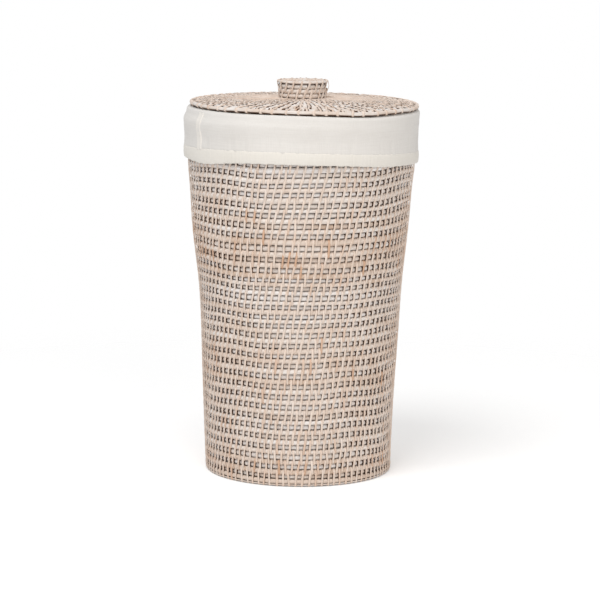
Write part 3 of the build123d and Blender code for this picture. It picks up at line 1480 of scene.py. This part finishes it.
@dataclass
class ClothLiner:
    """The cotton bag, turned over the rim as a cuff with an elasticated hem.

    Attributes:
        basket: The woven body that it hangs in.
        cloth: Thickness of the cloth.
        slack: How far the bag's folds hang in from the wall.
        around: Steps round the bag.
        fold_height: Height of the fold over the rim.
        fold_aside: How far under its top the fold starts to sit aside and does so in full, and how far aside.
        puff: Angle, spread and height of the fold's rise in front of the lid.
        cuff_gap: How far the cuff stands off the rim.
        cuff_turns: Start and end under the fold, and size, of each change of the cuff's radius.
        cuff_dent: Place under the fold, spread and depth of the dent in the cuff's sides.
        hem_around: Steps round the hem.
        hem_depth: Half the depth of its casing.
        hem_swing: How far the hem strays evenly, to the right, to the back and by the double turn.
        hem_tongues: Angle, spread and depth of the places where its lower edge hangs down.
        least_hang: How far the lower edge hangs down elsewhere.
        hem_puckers: Waves of its fine gathers.
        hem_waves: Waves of its broad ones.
        hem_edge: Waves of its lower edge.
        pucker_size: How far the fine gathers stand out.
        seam_angle: Angle of the side seam.
        seam_width: Width of its felled cloth.
        seam_crown: How far its middle stands out.
        seam_ridge: How far its two ridges do.
        hem_stitches: Stitches round the hem.
        seam_stitches: Stitches in each row down the seam.
        stitch_pitch: Distance between these.
        stitch: Half sizes of a stitch: its depth, length and width.
    """

    basket: WovenBasket
    cloth: float = 0.9 * MM
    slack: float = 1.6 * MM
    around: int = 400
    fold_height: float = 6.0 * MM
    fold_aside: tuple[float, float, float] = (19.0 * MM, 5.0 * MM, 2.5 * MM)
    puff: tuple[float, float, float] = (math.radians(-97.0), math.radians(24.0), 1.2 * MM)
    cuff_gap: float = 1.7 * MM
    cuff_turns: tuple[tuple[float, float, float], ...] = (
        (0.0, 14.0 * MM, 2.3 * MM), (9.0 * MM, 38.0 * MM, -1.9 * MM), (36.0 * MM, 48.0 * MM, 0.4 * MM)
    )
    cuff_dent: tuple[float, float, float] = (28.0 * MM, 11.0 * MM, 0.8 * MM)
    hem_around: int = 1200
    hem_depth: float = 2.1 * MM
    hem_swing: tuple[float, float, float, float] = (-2.25 * MM, -3.0 * MM, -2.5 * MM, -2.75 * MM)
    hem_tongues: tuple[tuple[float, float, float], ...] = (
        (math.radians(-144.0), math.radians(16.0), 4.8 * MM),
        (math.radians(-46.0), math.radians(14.0), 1.3 * MM),
    )
    least_hang: float = 1.2 * MM
    hem_puckers: tuple[int, ...] = (131, 149, 173, 191, 223, 251)
    hem_waves: tuple[int, ...] = (11, 17, 23, 31)
    hem_edge: tuple[int, ...] = (37, 59, 83, 121)
    pucker_size: float = 0.2 * MM
    seam_angle: float = math.radians(-148.5)
    seam_width: float = 14.4 * MM
    seam_crown: float = 0.55 * MM
    seam_ridge: float = 0.3 * MM
    hem_stitches: int = 300
    seam_stitches: int = 14
    stitch_pitch: float = 3.6 * MM
    stitch: tuple[float, float, float] = (0.35 * MM, 1.25 * MM, 0.3 * MM)

    def __post_init__(self) -> None:
        """Reads the heights of the cuff and the hem."""
        self.floor_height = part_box("liner_floor")[1][2]
        self.fold_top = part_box("liner_sides")[1][2]
        self.hem_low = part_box("hem_casing")[0][2]
        self.hem_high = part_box("hem_casing")[1][2]
        self.hem_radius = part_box("hem_casing")[1][0]

    def hem_drop(self, angle: Points) -> Points:
        """Gives how far the hem strays from its true height, by angle."""
        even, right, back, double = self.hem_swing
        return even + right * np.cos(angle) + back * np.sin(angle) + double * np.cos(2.0 * angle)

    def hem_hang(self, angle: Points) -> Points:
        """Gives how far the hem's lower edge hangs below its casing, by angle."""
        tongues = sum(depth * bell(angle, place, spread) for place, spread, depth in self.hem_tongues)
        return self.least_hang + tongues

    def cuff_radius(self, height: float) -> float:
        """Gives the radius of the cuff's cloth at a height, before its creases."""
        fall = self.fold_top - self.fold_height - height
        turns = sum(size * float(smooth_step(fall, start, end)) for start, end, size in self.cuff_turns)
        return self.basket.outer_radius(self.basket.rim_top) + self.cuff_gap + turns

    def build(self) -> None:
        """Builds and dresses every piece of the liner."""
        cotton = LINER_FINISH.material()
        bag = self._build_bag(cotton)
        hem = self._build_hem(HEM_FINISH.material())
        seam = self._build_seam(SEAM_FINISH.material())
        stitches = self._build_stitches(THREAD_FINISH.material())
        self._build_floor(cotton)
        self._build_elastic()

    def _profile(self) -> list[tuple[float, float]]:
        """Lists the bag's section from its bottom, up inside, over the rim and down the cuff.

        Returns:
            Radius and height of each point.
        """
        basket = self.basket
        side_rows, cuff_rows, squareness = 44, 22, 0.7
        gap = 0.2 * MM + self.cloth / 2
        bag_top = self.fold_top - self.fold_height
        sides = np.linspace(self.floor_height + self.cloth, bag_top, side_rows).tolist()
        points = [(basket.back_radius(height) - gap, height) for height in sides]
        inner, outer = points[-1][0], self.cuff_radius(bag_top)
        middle = (inner + outer) / 2
        reach = (outer - inner) / 2
        lift = self.fold_height - self.cloth / 2
        for degrees in range(165, 0, -15):
            angle = math.radians(degrees)
            points.append((middle + reach * math.cos(angle), bag_top + lift * math.sin(angle) ** squareness))
        cuff = np.linspace(bag_top, self.hem_high - 1.5 * MM, cuff_rows).tolist()
        return points + [(self.cuff_radius(height), height) for height in cuff]

    def _build_bag(self, look: bpy.types.Material) -> bpy.types.Object:
        """Spins the bag's section, then lets the cloth hang and crease.

        Args:
            look: Its material.

        Returns:
            The bag.
        """
        bm = bmesh.new()
        spin_profile(bm, self._profile(), self.around)
        bag = finished(bm, "liner_bag")
        radius, angle, height = to_rings(read_points(bag.data))
        rng = np.random.default_rng(51)
        cuff = radius > self.basket.outer_radius(self.basket.rim_top) - 4 * MM
        down = np.where(cuff, smooth_step(self.fold_top - height, 0.0, self.fold_top - self.hem_high), 0.0)
        radius += np.where(cuff, self._creases(rng, angle, down), 0.0)
        under_fold, over_floor, fold_edge = (8 * MM, 90 * MM), (16 * MM, 60 * MM), (171 * MM, 175 * MM)
        depth = smooth_step(self.fold_top - height, *under_fold) * smooth_step(height, *over_floor)
        folds = Drift(rng, 1, (5, 7, 9, 13, 17), 1.0).at(angle)
        radius -= np.where(cuff, 0.0, depth * self.slack * np.clip(folds + 1.0, 0.0, 2.5))
        outer = smooth_step(radius, *fold_edge)
        outer *= smooth_step(height, self.fold_top - 14 * MM, self.fold_top)
        height += down * self.hem_drop(angle) + outer * self._puff(angle)
        points = from_rings(radius, angle, height)
        points[:, 0] += np.where(cuff, self._aside(height), 0.0)
        write_points(bag.data, points)
        thicken(bag, self.cloth)
        return settle(bag, Body.LINER, look, ["liner_sides"])

    def _puff(self, angle: Points) -> Points:
        """Gives how far the fold stands up in front of the lid, by angle."""
        place, spread, height = self.puff
        return height * bell(angle, place, spread)

    def _aside(self, height: Points | float) -> Points:
        """Gives how far the cuff sits to the right.

        Args:
            height: Height on the cuff.

        Returns:
            The distance there.
        """
        fall = self.fold_top - height
        start, end, size = self.fold_aside
        place, spread, depth = self.cuff_dent
        return size * smooth_step(-fall, -start, -end) - depth * bell(fall, place, spread)

    def _creases(self, rng: np.random.Generator, angle: Points, down: Points) -> Points:
        """Gives the soft creases of the cuff.

        Args:
            rng: Source of their waves.
            angle: Angle of each point.
            down: Zero at the fold, one at the hem.

        Returns:
            How far each point stands out.
        """
        slow = Drift(rng, 1, (3, 4, 6, 9), 0.45 * MM)
        slanted = Drift(rng, 1, (14, 19, 23, 29), 0.22 * MM)
        pulls = Drift(rng, 1, (47, 61, 77, 90, 104), 0.2 * MM)
        slow_slant, slant, seam_spread, elsewhere, by_seam = 0.12, 0.35, 0.35, 0.35, 1.3
        middle = np.sin(math.pi * np.clip(down, 0.0, 1.0))
        low = smooth_step(down, 0.55, 1.0)
        near_seam = bell(turn_from(angle, self.seam_angle), 0.0, seam_spread)
        sag = slow.at(angle + slow_slant * down) * middle
        diagonal = slanted.at(angle + slant * down) * middle * (elsewhere + by_seam * near_seam)
        return sag + diagonal + pulls.at(angle) * low

    def _hem_puckers(self, rng: np.random.Generator, angle: Points) -> Points:
        """Gives the fine and the broad gathers of the hem, by angle."""
        fine = Drift(rng, 1, self.hem_puckers, self.pucker_size)
        slow = Drift(rng, 1, self.hem_waves, 0.18 * MM)
        return fine.at(angle) + slow.at(angle)

    def _build_hem(self, look: bpy.types.Material) -> bpy.types.Object:
        """Builds the folded casing along the cuff's edge, gathered by its elastic.

        Args:
            look: Its material.

        Returns:
            The casing.
        """
        middle_height = (self.hem_low + self.hem_high) / 2
        half = (self.hem_high - self.hem_low) / 2
        centre = self.hem_radius - self.hem_depth
        profile = []
        for degrees in range(92, -245, -14):
            angle = math.radians(degrees)
            pinch = 1.0 - 0.18 * max(0.0, -math.sin(angle))
            bulge = math.copysign(abs(math.cos(angle)) ** 0.5, math.cos(angle))
            profile.append((centre + self.hem_depth * pinch * bulge, middle_height + half * math.sin(angle)))
        bm = bmesh.new()
        spin_profile(bm, profile, self.hem_around)
        hem = finished(bm, "hem_casing_cloth")
        radius, angle, height = to_rings(read_points(hem.data))
        rng = np.random.default_rng(52)
        outside = smooth_step(radius, centre - self.hem_depth, centre + self.hem_depth)
        level = (height - self.hem_low) / (self.hem_high - self.hem_low)
        puckers = self._hem_puckers(rng, angle)
        radius += puckers * outside * (0.55 + 0.45 * np.sin(math.pi * np.clip(level, 0.0, 1.0)))
        edge = Drift(rng, 1, self.hem_edge, 0.35 * MM).at(angle)
        height += self.hem_drop(angle) + edge * (1.0 - level)
        height -= self.hem_hang(angle) * smooth_step(1.0 - level, 0.1, 0.9)
        write_points(hem.data, from_rings(radius, angle, height))
        thicken(hem, 0.7 * self.cloth, offset=-1.0)
        return settle(hem, Body.LINER, look, ["hem_casing"])

    def _build_elastic(self) -> None:
        """Builds the band of elastic that runs inside the hem."""
        low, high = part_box("hem_elastic")
        thickness, steps = 1.0 * MM, 240
        outer = high[0]
        inner = outer - thickness
        corners = [(inner, low[2]), (outer, low[2]), (outer, high[2]), (inner, high[2]), (inner, low[2])]
        bm = bmesh.new()
        spin_profile(bm, corners, steps)
        elastic = finished(bm, "hem_elastic_band", smooth=False)
        radius, angle, height = to_rings(read_points(elastic.data))
        write_points(elastic.data, from_rings(radius, angle, height + self.hem_drop(angle)))
        settle(elastic, Body.LINER, ElasticFinish().material(), ["hem_elastic"])

    def _build_seam(self, look: bpy.types.Material) -> bpy.types.Object:
        """Builds the felled side seam that runs down the cuff.

        Args:
            look: Its material.

        Returns:
            The seam.
        """
        top = self.fold_top - 4 * MM
        low = self.hem_high - 2 * MM
        bm = bmesh.new()
        bmesh.ops.create_grid(bm, x_segments=16, y_segments=26, size=0.5)
        for vert in bm.verts:
            height = low + (top - low) * (vert.co.y + 0.5)
            crown = 1.0 - (2.0 * vert.co.x) ** 6
            ridge = self.seam_ridge * (1.0 - math.cos(math.tau * 1.5 * abs(vert.co.x)))
            radius = self.cuff_radius(height) + 0.55 * self.cloth + (self.seam_crown + ridge) * crown
            angle = self.seam_angle + vert.co.x * self.seam_width / radius
            aside = float(self._aside(height))
            vert.co = (radius * math.cos(angle) + aside, radius * math.sin(angle), height)
        outer = bm.faces[:]
        bmesh.ops.recalc_face_normals(bm, faces=outer)
        bmesh.ops.solidify(bm, geom=outer, thickness=0.8 * MM)
        seam = finished(bm, "cuff_seam")
        return settle(seam, Body.LINER, look)

    def _build_stitches(self, look: bpy.types.Material) -> bpy.types.Object:
        """Builds the row of stitches along the hem and the two rows down the seam.

        Args:
            look: Their material.

        Returns:
            The stitches.
        """
        bm = bmesh.new()
        depth, length, width = self.stitch
        verts = bmesh.ops.create_icosphere(bm, subdivisions=1, radius=1.0)["verts"]
        bmesh.ops.scale(bm, vec=(depth, length, width), verts=verts)
        row = (self.hem_radius - 1.0 * MM, 0.0, self.hem_high - 1.4 * MM)
        bmesh.ops.translate(bm, vec=row, verts=verts)
        repeat_round(bm, self.hem_stitches)
        for side in (-0.33 * self.seam_width, 0.33 * self.seam_width):
            for index in range(self.seam_stitches):
                made = bmesh.ops.create_icosphere(bm, subdivisions=1, radius=1.0)["verts"]
                bmesh.ops.scale(bm, vec=(depth, width, length), verts=made)
                level = self.hem_high + 3.5 * MM + self.stitch_pitch * index
                out = self.cuff_radius(level) + 1.05 * MM
                angle = self.seam_angle + side / out
                bmesh.ops.rotate(bm, cent=ORIGIN, matrix=Matrix.Rotation(angle, 3, "Z"), verts=made)
                aside = float(self._aside(level))
                place = (out * math.cos(angle) + aside, out * math.sin(angle), level)
                bmesh.ops.translate(bm, vec=place, verts=made)
        stitches = finished(bm, "liner_stitches")
        radius, angle, height = to_rings(read_points(stitches.data))
        spacing = math.tau / self.hem_stitches
        middle = np.round(angle / spacing) * spacing
        on_hem = height < self.hem_high
        height += np.where(on_hem, self.hem_drop(middle), 0.0)
        write_points(stitches.data, from_rings(radius, angle, height))
        return settle(stitches, Body.LINER, look)

    def _build_floor(self, look: bpy.types.Material) -> None:
        """Builds the bag's round bottom, a little rumpled.

        Args:
            look: Its material.
        """
        low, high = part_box("liner_floor")
        middle = (low[2] + high[2]) / 2
        reach = high[0] - 0.3 * MM
        rings, steps = 16, 96
        profile = [(reach * index / rings, middle) for index in range(rings, 0, -1)]
        bm = bmesh.new()
        spin_profile(bm, profile, steps)
        bounds = [edge for edge in bm.edges if edge.is_boundary]
        hole = [edge for edge in bounds if edge.verts[0].co.to_2d().length < reach / 2]
        bmesh.ops.holes_fill(bm, edges=hole, sides=0)
        bottom = finished(bm, "liner_bottom")
        radius, angle, height = to_rings(read_points(bottom.data))
        rumple = np.sin(5.0 * angle + 30.0 * radius) * np.sin(3.0 * angle - 55.0 * radius)
        height += 0.3 * MM * rumple * smooth_step(reach - radius, 0.0, 20 * MM)
        write_points(bottom.data, from_rings(radius, angle, height))
        thicken(bottom, self.cloth)
        settle(bottom, Body.LINER, look, ["liner_floor"])


@dataclass
class WovenLid:
    """The flat lid: a wrapped hoop, concentric rods, a locating ring and a woven knob.

    Attributes:
        tied_radius: Radius of the panel's rods that carry two bands of loops.
        window_radius: Radius of the rods between them.
        recess: How far the rods between lie lower.
        groove: Gap outside each rod that holds strips.
        slit: Gap outside each rod between them.
        tones: Tones of the two kinds of rod.
        hole: Radius inside which the panel has no more rods.
        pad_radius: Radius at which the panel is at its highest.
        rim_loops: Peel loops round the hoop.
        panel_loops: Most loops in one band of the panel.
        loop_spacing: Least distance between the panel's loops.
        peel: The strip that ties the panel.
        rim_peel: The strip round the hoop.
        ring_rod_radius: Radius of the locating ring's rod.
        ring_loops: Ties of the locating ring.
        knob_peel: The strip that ties the knob.
        knob_rod_radius: Radius of the knob's rods.
        knob_rows: Rods under the knob's hoop.
        knob_flare: How much wider each of them is than the one below.
        knob_loops: Peel loops round the knob.
        knob_lean: Their slant.
        cap_rod_radius: Radius of the cap's rod.
        cap_pitch: Distance between the cap's rings.
        cap_peel: The strip that ties the cap.
        cap_spacing: Distance between the cap's loops.
        side: How far the lid lies off the middle.
        knob_side: How far the knob does.
        knob_reach: Radius up to which the panel lies as the knob does.
        panel_reach: Radius from which it lies as the hoop does.
    """

    tied_radius: float = 4.3 * MM
    window_radius: float = 4.0 * MM
    recess: float = 0.4 * MM
    groove: float = 2.0 * MM
    slit: float = 0.1 * MM
    tones: tuple[float, float] = (0.4, 0.35)
    hole: float = 14.0 * MM
    pad_radius: float = 44.0 * MM
    rim_loops: int = 54
    panel_loops: int = 57
    loop_spacing: float = 6.5 * MM
    peel: Peel = Peel(3.3 * MM, 0.6 * MM, 0.1 * MM)
    rim_peel: Peel = Peel(4.2 * MM, 0.9 * MM, 0.1 * MM)
    ring_rod_radius: float = 3.0 * MM
    ring_loops: int = 60
    knob_peel: Peel = Peel(3.4 * MM, 0.8 * MM, 0.2 * MM)
    knob_rod_radius: float = 3.5 * MM
    knob_rows: int = 3
    knob_flare: float = 0.5 * MM
    knob_loops: int = 19
    knob_lean: float = math.radians(18.0)
    cap_rod_radius: float = 2.9 * MM
    cap_pitch: float = 6.0 * MM
    cap_peel: Peel = Peel(2.0 * MM, 0.4 * MM, 0.05 * MM)
    cap_spacing: float = 8.0 * MM
    side: float = 4.0 * MM
    knob_side: float = 1.0 * MM
    knob_reach: float = 46.0 * MM
    panel_reach: float = 140.0 * MM

    def __post_init__(self) -> None:
        """Reads the lid's heights."""
        self.hoop_low, self.hoop_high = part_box("lid_rim_hoop")
        self.panel_low, self.panel_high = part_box("lid_panel")

    def hoop_rod(self) -> Rod:
        """Gives the thick rod round the lid.

        Returns:
            The rod, inside its strips.
        """
        least_reach = 175 * MM
        skin = self.rim_peel.thickness
        radius = (self.hoop_high[2] - self.hoop_low[2]) / 2 - skin - 0.3 * MM
        reach = max(self.hoop_high[0], least_reach)
        return Rod(reach - radius - skin, self.hoop_high[2] - skin - radius, radius)

    def panel_rods(self) -> list[Rod]:
        """Lists the panel's rods, rising to the pad under the knob.

        Returns:
            The rods from the outside in.
        """
        hoop = self.hoop_rod()
        edge = hoop.ring - hoop.radius
        low = self.panel_low[2] + 7 * MM
        tied = (self.tied_radius, 0.0, self.groove, self.tones[0])
        window = (self.window_radius, self.recess, self.slit, self.tones[1])
        rods: list[Rod] = []
        inner = edge
        while inner > self.hole:
            radius, recess, gap, tone = window if len(rods) % 2 else tied
            inner -= gap
            ring = inner - radius
            rise = min(1.0, (edge - ring) / (edge - self.pad_radius))
            top = low + (self.panel_high[2] - low) * rise - self.peel.thickness
            rods.append(Rod(ring, top - recess - radius, radius, tone))
            inner -= 2 * radius
        return rods

    def lay(self, piece: bpy.types.Object, slot: Slot, look: bpy.types.Material, *replaces: str) -> None:
        """Sets a piece a little to one side, as the lid lies on the rim, and dresses it.

        Args:
            piece: The piece.
            slot: Slot that its finish belongs to; not used.
            look: Its material.
            replaces: Names of the plain solids that it stands for.
        """
        points = read_points(piece.data)
        reach = smooth_step(np.hypot(points[:, 0], points[:, 1]), self.knob_reach, self.panel_reach)
        points[:, 0] += self.knob_side + (self.side - self.knob_side) * reach
        write_points(piece.data, points)
        settle(piece, Body.LID, look, replaces)

    def build(self, looks: Looks) -> None:
        """Builds and dresses every piece of the lid.

        Args:
            looks: Materials of the rattan.
        """
        hoop = self.hoop_rod()
        rods = self.panel_rods()
        # Painted shade: the hoop's underside is left dark cane, which draws the shadow line between the lid
        # and the cuff.
        rim = RodCourse(
            [hoop], Show.CORNER, seed=61, steps=216, sides=14, wander=0.35 * MM, waves=(5, 9, 16, 27, 41),
            brush_and_shade=(0.0, 0.75),
        )
        self.lay(rim.build("lid_hoop_rod"), Slot.HOOP, looks.rod, "lid_rim_hoop")
        bands = radial_bands(rods, self.loop_spacing, most=self.panel_loops, step=0.12)
        lashing = Lashing(bands, self.peel, seed=63, stray=0.12, sway=0.12, wrap=0.2)
        # Painted shade: the panel rods are whitewashed only near their tops and left dark in wide places at
        # the strips, which draws the dark dots of the hollows as well as bare cane.
        panel = RodCourse(
            rods, Show.UPWARD, seed=62, brush_and_shade=(0.2, 0.85), ties=lashing.crossings(start=0),
            tie_width=2.2 * self.peel.width,
        )
        self.lay(panel.build("lid_coil"), Slot.CORE, looks.rod, "lid_panel")
        band = Band((hoop, rods[0]), self.rim_loops, 0.03, 0.3)
        wraps = Lashing([band], self.rim_peel, seed=66, sway=0.15, wrap=0.5)
        self.lay(wraps.build("lid_rim_wraps"), Slot.HOOP, looks.peel)
        self.lay(lashing.build("lid_lashing"), Slot.CORE, looks.peel)
        self._build_locating_ring(rods, looks)
        self._build_cap(self._build_knob(looks), looks)

    def _build_locating_ring(self, rods: list[Rod], looks: Looks) -> None:
        """Builds the rod under the lid that drops into the mouth, tied to the panel.

        Args:
            rods: The panel's rods.
            looks: Materials of the rattan.
        """
        low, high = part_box("lid_locating_ring")
        reach = self.ring_rod_radius + self.peel.thickness
        ring = Rod(high[0] - reach, low[2] + reach, self.ring_rod_radius)
        rod = RodCourse([ring], Show.OUTWARD, seed=64, sides=12).build("locating_rod")
        self.lay(rod, Slot.HOOP, looks.rod, "lid_locating_ring")
        held = min(rods, key=lambda other: abs(other.ring - ring.ring))
        ties = Lashing([Band((ring, held), self.ring_loops, 0.02)], self.peel, seed=65).build("locating_ties")
        self.lay(ties, Slot.CORE, looks.peel)

    def _build_knob(self, looks: Looks) -> Rod:
        """Builds the knob's rods, its hoop and its lashing.

        Args:
            looks: Materials of the rattan.

        Returns:
            The hoop's rod.
        """
        low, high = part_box("knob_wall")
        hoop_low, hoop_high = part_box("knob_top_hoop")
        skin = self.knob_rod_radius + self.knob_peel.thickness
        step = (high[2] - low[2]) / self.knob_rows
        rods = []
        for index in range(self.knob_rows):
            outer = high[0] - self.knob_flare * (self.knob_rows - 1 - index)
            rods.append(Rod(outer - skin, low[2] + step * (index + 0.5), self.knob_rod_radius))
        radius = (hoop_high[2] - hoop_low[2]) / 2 - self.knob_peel.thickness
        reach = radius + self.knob_peel.thickness
        hoop = Rod(hoop_high[0] - reach, (hoop_low[2] + hoop_high[2]) / 2, radius)
        under = Rod(rods[0].ring, low[2] - skin, self.knob_rod_radius)
        bands = [
            Band((under, rods[0], rods[1]), self.knob_loops, 0.11, self.knob_lean),
            Band((rods[1], rods[2], hoop), self.knob_loops, 0.0, self.knob_lean),
        ]
        lashing = Lashing(bands, self.knob_peel, seed=73, stray=0.12, sway=0.09, wrap=0.3)
        # Painted shade: the knob rods stay dark under their strips, for the hollows there as well as bare
        # cane.
        stack = RodCourse(
            rods, Show.OUTWARD, seed=71, steps=72, wander=0.15 * MM, ties=lashing.crossings(),
            tie_width=self.knob_peel.width,
        )
        self.lay(stack.build("knob_rods"), Slot.CORE, looks.rod, "knob_wall")
        top = RodCourse([hoop], Show.CORNER, seed=72, steps=72, sides=14, wander=0.1 * MM)
        self.lay(top.build("knob_hoop_rod"), Slot.HOOP, looks.rod, "knob_top_hoop")
        ties = lashing.build("knob_lashing")
        self._loosen(ties.data, (low[2] + high[2]) / 2 + 5 * MM)
        self.lay(ties, Slot.CORE, looks.peel)
        return hoop

    def _build_cap(self, hoop: Rod, looks: Looks) -> None:
        """Builds the coiled cap inside the knob's hoop.

        Args:
            hoop: The hoop's rod.
            looks: Materials of the rattan.
        """
        thick = self.cap_rod_radius
        outer = hoop.ring - hoop.radius - thick
        rings = [outer - self.cap_pitch * index for index in range(int(outer / self.cap_pitch) + 1)]
        coils = [Rod(max(ring, 1.1 * thick), hoop.height + hoop.radius - thick, thick) for ring in rings]
        cap = RodCourse(coils, Show.UPWARD, seed=74, steps=60, wander=0.08 * MM, brush_and_shade=(-0.8, 0.1))
        self.lay(cap.build("knob_cap_coil"), Slot.CORE, looks.rod, "knob_cap")
        ties = Lashing(radial_bands(coils, self.cap_spacing), self.cap_peel, seed=75)
        self.lay(ties.build("knob_cap_lashing"), Slot.CORE, looks.peel)

    def _loosen(self, mesh: bpy.types.Mesh, level: float) -> None:
        """Lets a strip at the knob's right stand off its rods.

        Args:
            mesh: The knob's lashing.
            level: Height of the strip's middle.
        """
        place, spread, length, size = 0.02, 0.16, 8 * MM, 2.6 * MM
        radius, angle, height = to_rings(read_points(mesh))
        near = smooth_step(spread - np.abs(angle - place), 0.0, 0.03)
        bow = np.clip(1.0 - ((height - level) / length) ** 2, 0.0, 1.0)
        outside = smooth_step(radius, 34 * MM, 36 * MM)
        write_points(mesh, from_rings(radius + size * near * bow * outside, angle, height))


@dataclass(frozen=True)
class Softbox:
    """A square soft lamp that is aimed at the basket.

    Attributes:
        name: Name of the lamp.
        power: Its power in watts.
        size: Length of its side.
        place: Where it hangs.
        colour: Colour of its light.
        aim: Point that it is turned to.
    """

    name: str
    power: float
    size: float
    place: tuple[float, float, float]
    colour: tuple[float, float, float] = WHITE[:3]
    aim: tuple[float, float, float] = (0.0, 0.0, 0.3)

    def build(self) -> None:
        """Hangs the lamp."""
        lamp = bpy.data.lights.new(self.name, "AREA")
        lamp.energy = self.power
        lamp.size = self.size
        lamp.color = self.colour
        softbox = bpy.data.objects.new(self.name, lamp)
        softbox.location = self.place
        beam = Vector(self.aim) - Vector(self.place)
        softbox.rotation_euler = beam.to_track_quat("-Z", "Y").to_euler()
        bpy.context.scene.collection.objects.link(softbox)


@dataclass
class Studio:
    """A pale floor, soft light and a camera at the photograph's angle.

    Attributes:
        camera_distance: Distance in front of the basket's axis.
        camera_height: Height of the lens.
        camera_side: How far the lens is to the right.
        pitch: How far the camera looks down.
        roll: How far it is turned about its line of sight.
        lens: Focal length on the sensor, in millimetres.
        sensor: Width of the sensor, in millimetres.
        ambient: Strength of the even light.
        key: The main lamp.
        fill: The lamp that lightens its shadows.
        floor_radius: Radius of the floor.
        floor_colour: Its colour.
        floor_lift: How much it glows for the camera, to meet the white behind it.
        floor_fade: Distances between which it fades into that white.
    """

    camera_distance: float = 3.9617
    camera_height: float = 0.9066
    camera_side: float = 0.5 * MM
    pitch: float = math.radians(9.2416)
    roll: float = math.radians(0.6)
    lens: float = 156.19
    sensor: float = 36.0
    ambient: float = 0.545
    key: Softbox = Softbox("key_softbox", 62.0, 1.8, (-0.86, -1.75, 3.68))
    fill: Softbox = Softbox("fill_softbox", 28.0, 1.6, (1.28, -3.5, 1.44), (1.0, 0.92, 0.83))
    floor_radius: float = 3.0
    floor_colour: Colour = shade(247, 247, 247)
    floor_lift: float = 0.265
    floor_fade: tuple[float, float] = (0.55, 1.3)

    def build(self) -> None:
        """Builds the whole setting."""
        bpy.context.scene.view_settings.view_transform = "Standard"
        self._build_world()
        for softbox in (self.key, self.fill):
            softbox.build()
        self._build_floor()
        self._build_camera()

    def _build_world(self) -> None:
        """White behind the object, a plain even light on it."""
        world = bpy.data.worlds.new("studio_white")
        bpy.context.scene.world = world
        world.use_nodes = True
        graph = NodeGraph(world.node_tree)
        background = graph.tree.nodes["Background"]
        background.inputs["Color"].default_value = WHITE
        graph.feed(background.inputs["Strength"], graph.spread(graph.seen(), 0.0, 1.0, self.ambient, 1.0))

    def _build_floor(self) -> None:
        """A pale floor that fades into the white behind it and keeps the shadow."""
        bm = bmesh.new()
        bmesh.ops.create_circle(bm, cap_ends=True, segments=96, radius=self.floor_radius)
        floor = finished(bm, "floor")
        graph = Finish("pale_floor")
        graph.paint(self.floor_colour)
        graph.set(Roughness=0.9, Specular_IOR_Level=0.0)
        seen = graph.seen()
        lift = graph.node("ShaderNodeEmission")
        lift.inputs["Color"].default_value = WHITE
        graph.feed(lift.inputs["Strength"], graph.maths("MULTIPLY", seen, self.floor_lift))
        lit = graph.node("ShaderNodeAddShader")
        graph.feed(lit.inputs[0], graph.shader.outputs["BSDF"])
        graph.feed(lit.inputs[1], lift.outputs["Emission"])
        length = graph.node("ShaderNodeVectorMath", operation="LENGTH")
        graph.feed(length.inputs[0], graph.place)
        fade = graph.spread(length.outputs["Value"], *self.floor_fade)
        blend = graph.node("ShaderNodeMixShader")
        graph.feed(blend.inputs[0], graph.maths("MULTIPLY", fade, seen))
        graph.feed(blend.inputs[1], lit.outputs[0])
        graph.feed(blend.inputs[2], graph.node("ShaderNodeBsdfTransparent").outputs[0])
        graph.feed(graph.tree.nodes["Material Output"].inputs["Surface"], blend.outputs[0])
        floor.data.materials.append(graph.material)

    def _build_camera(self) -> None:
        """A long lens that looks slightly down on the basket."""
        lens = bpy.data.cameras.new("camera")
        lens.lens = self.lens
        lens.sensor_width = self.sensor
        lens.sensor_fit = "HORIZONTAL"
        camera = bpy.data.objects.new("camera", lens)
        turn = Matrix.Rotation(math.pi / 2 - self.pitch, 4, "X") @ Matrix.Rotation(self.roll, 4, "Z")
        place = Matrix.Translation((self.camera_side, -self.camera_distance, self.camera_height))
        camera.matrix_world = place @ turn
        bpy.context.scene.collection.objects.link(camera)
        bpy.context.scene.camera = camera


def write_sizes() -> None:
    """Updates the view layer."""
    bpy.context.view_layer.update()


def main() -> None:
    """Builds the basket, its liner, its lid and the studio, in that order."""
    logging.basicConfig(level=logging.INFO, format="%(name)s: %(message)s")
    looks = Looks(ROD_FINISH.material(), PEEL_FINISH.material())
    basket = WovenBasket()
    basket.build(looks)
    ClothLiner(basket).build()
    WovenLid().build(looks)
    Studio().build()
    write_sizes()


if __name__ == "__main__":
    main()
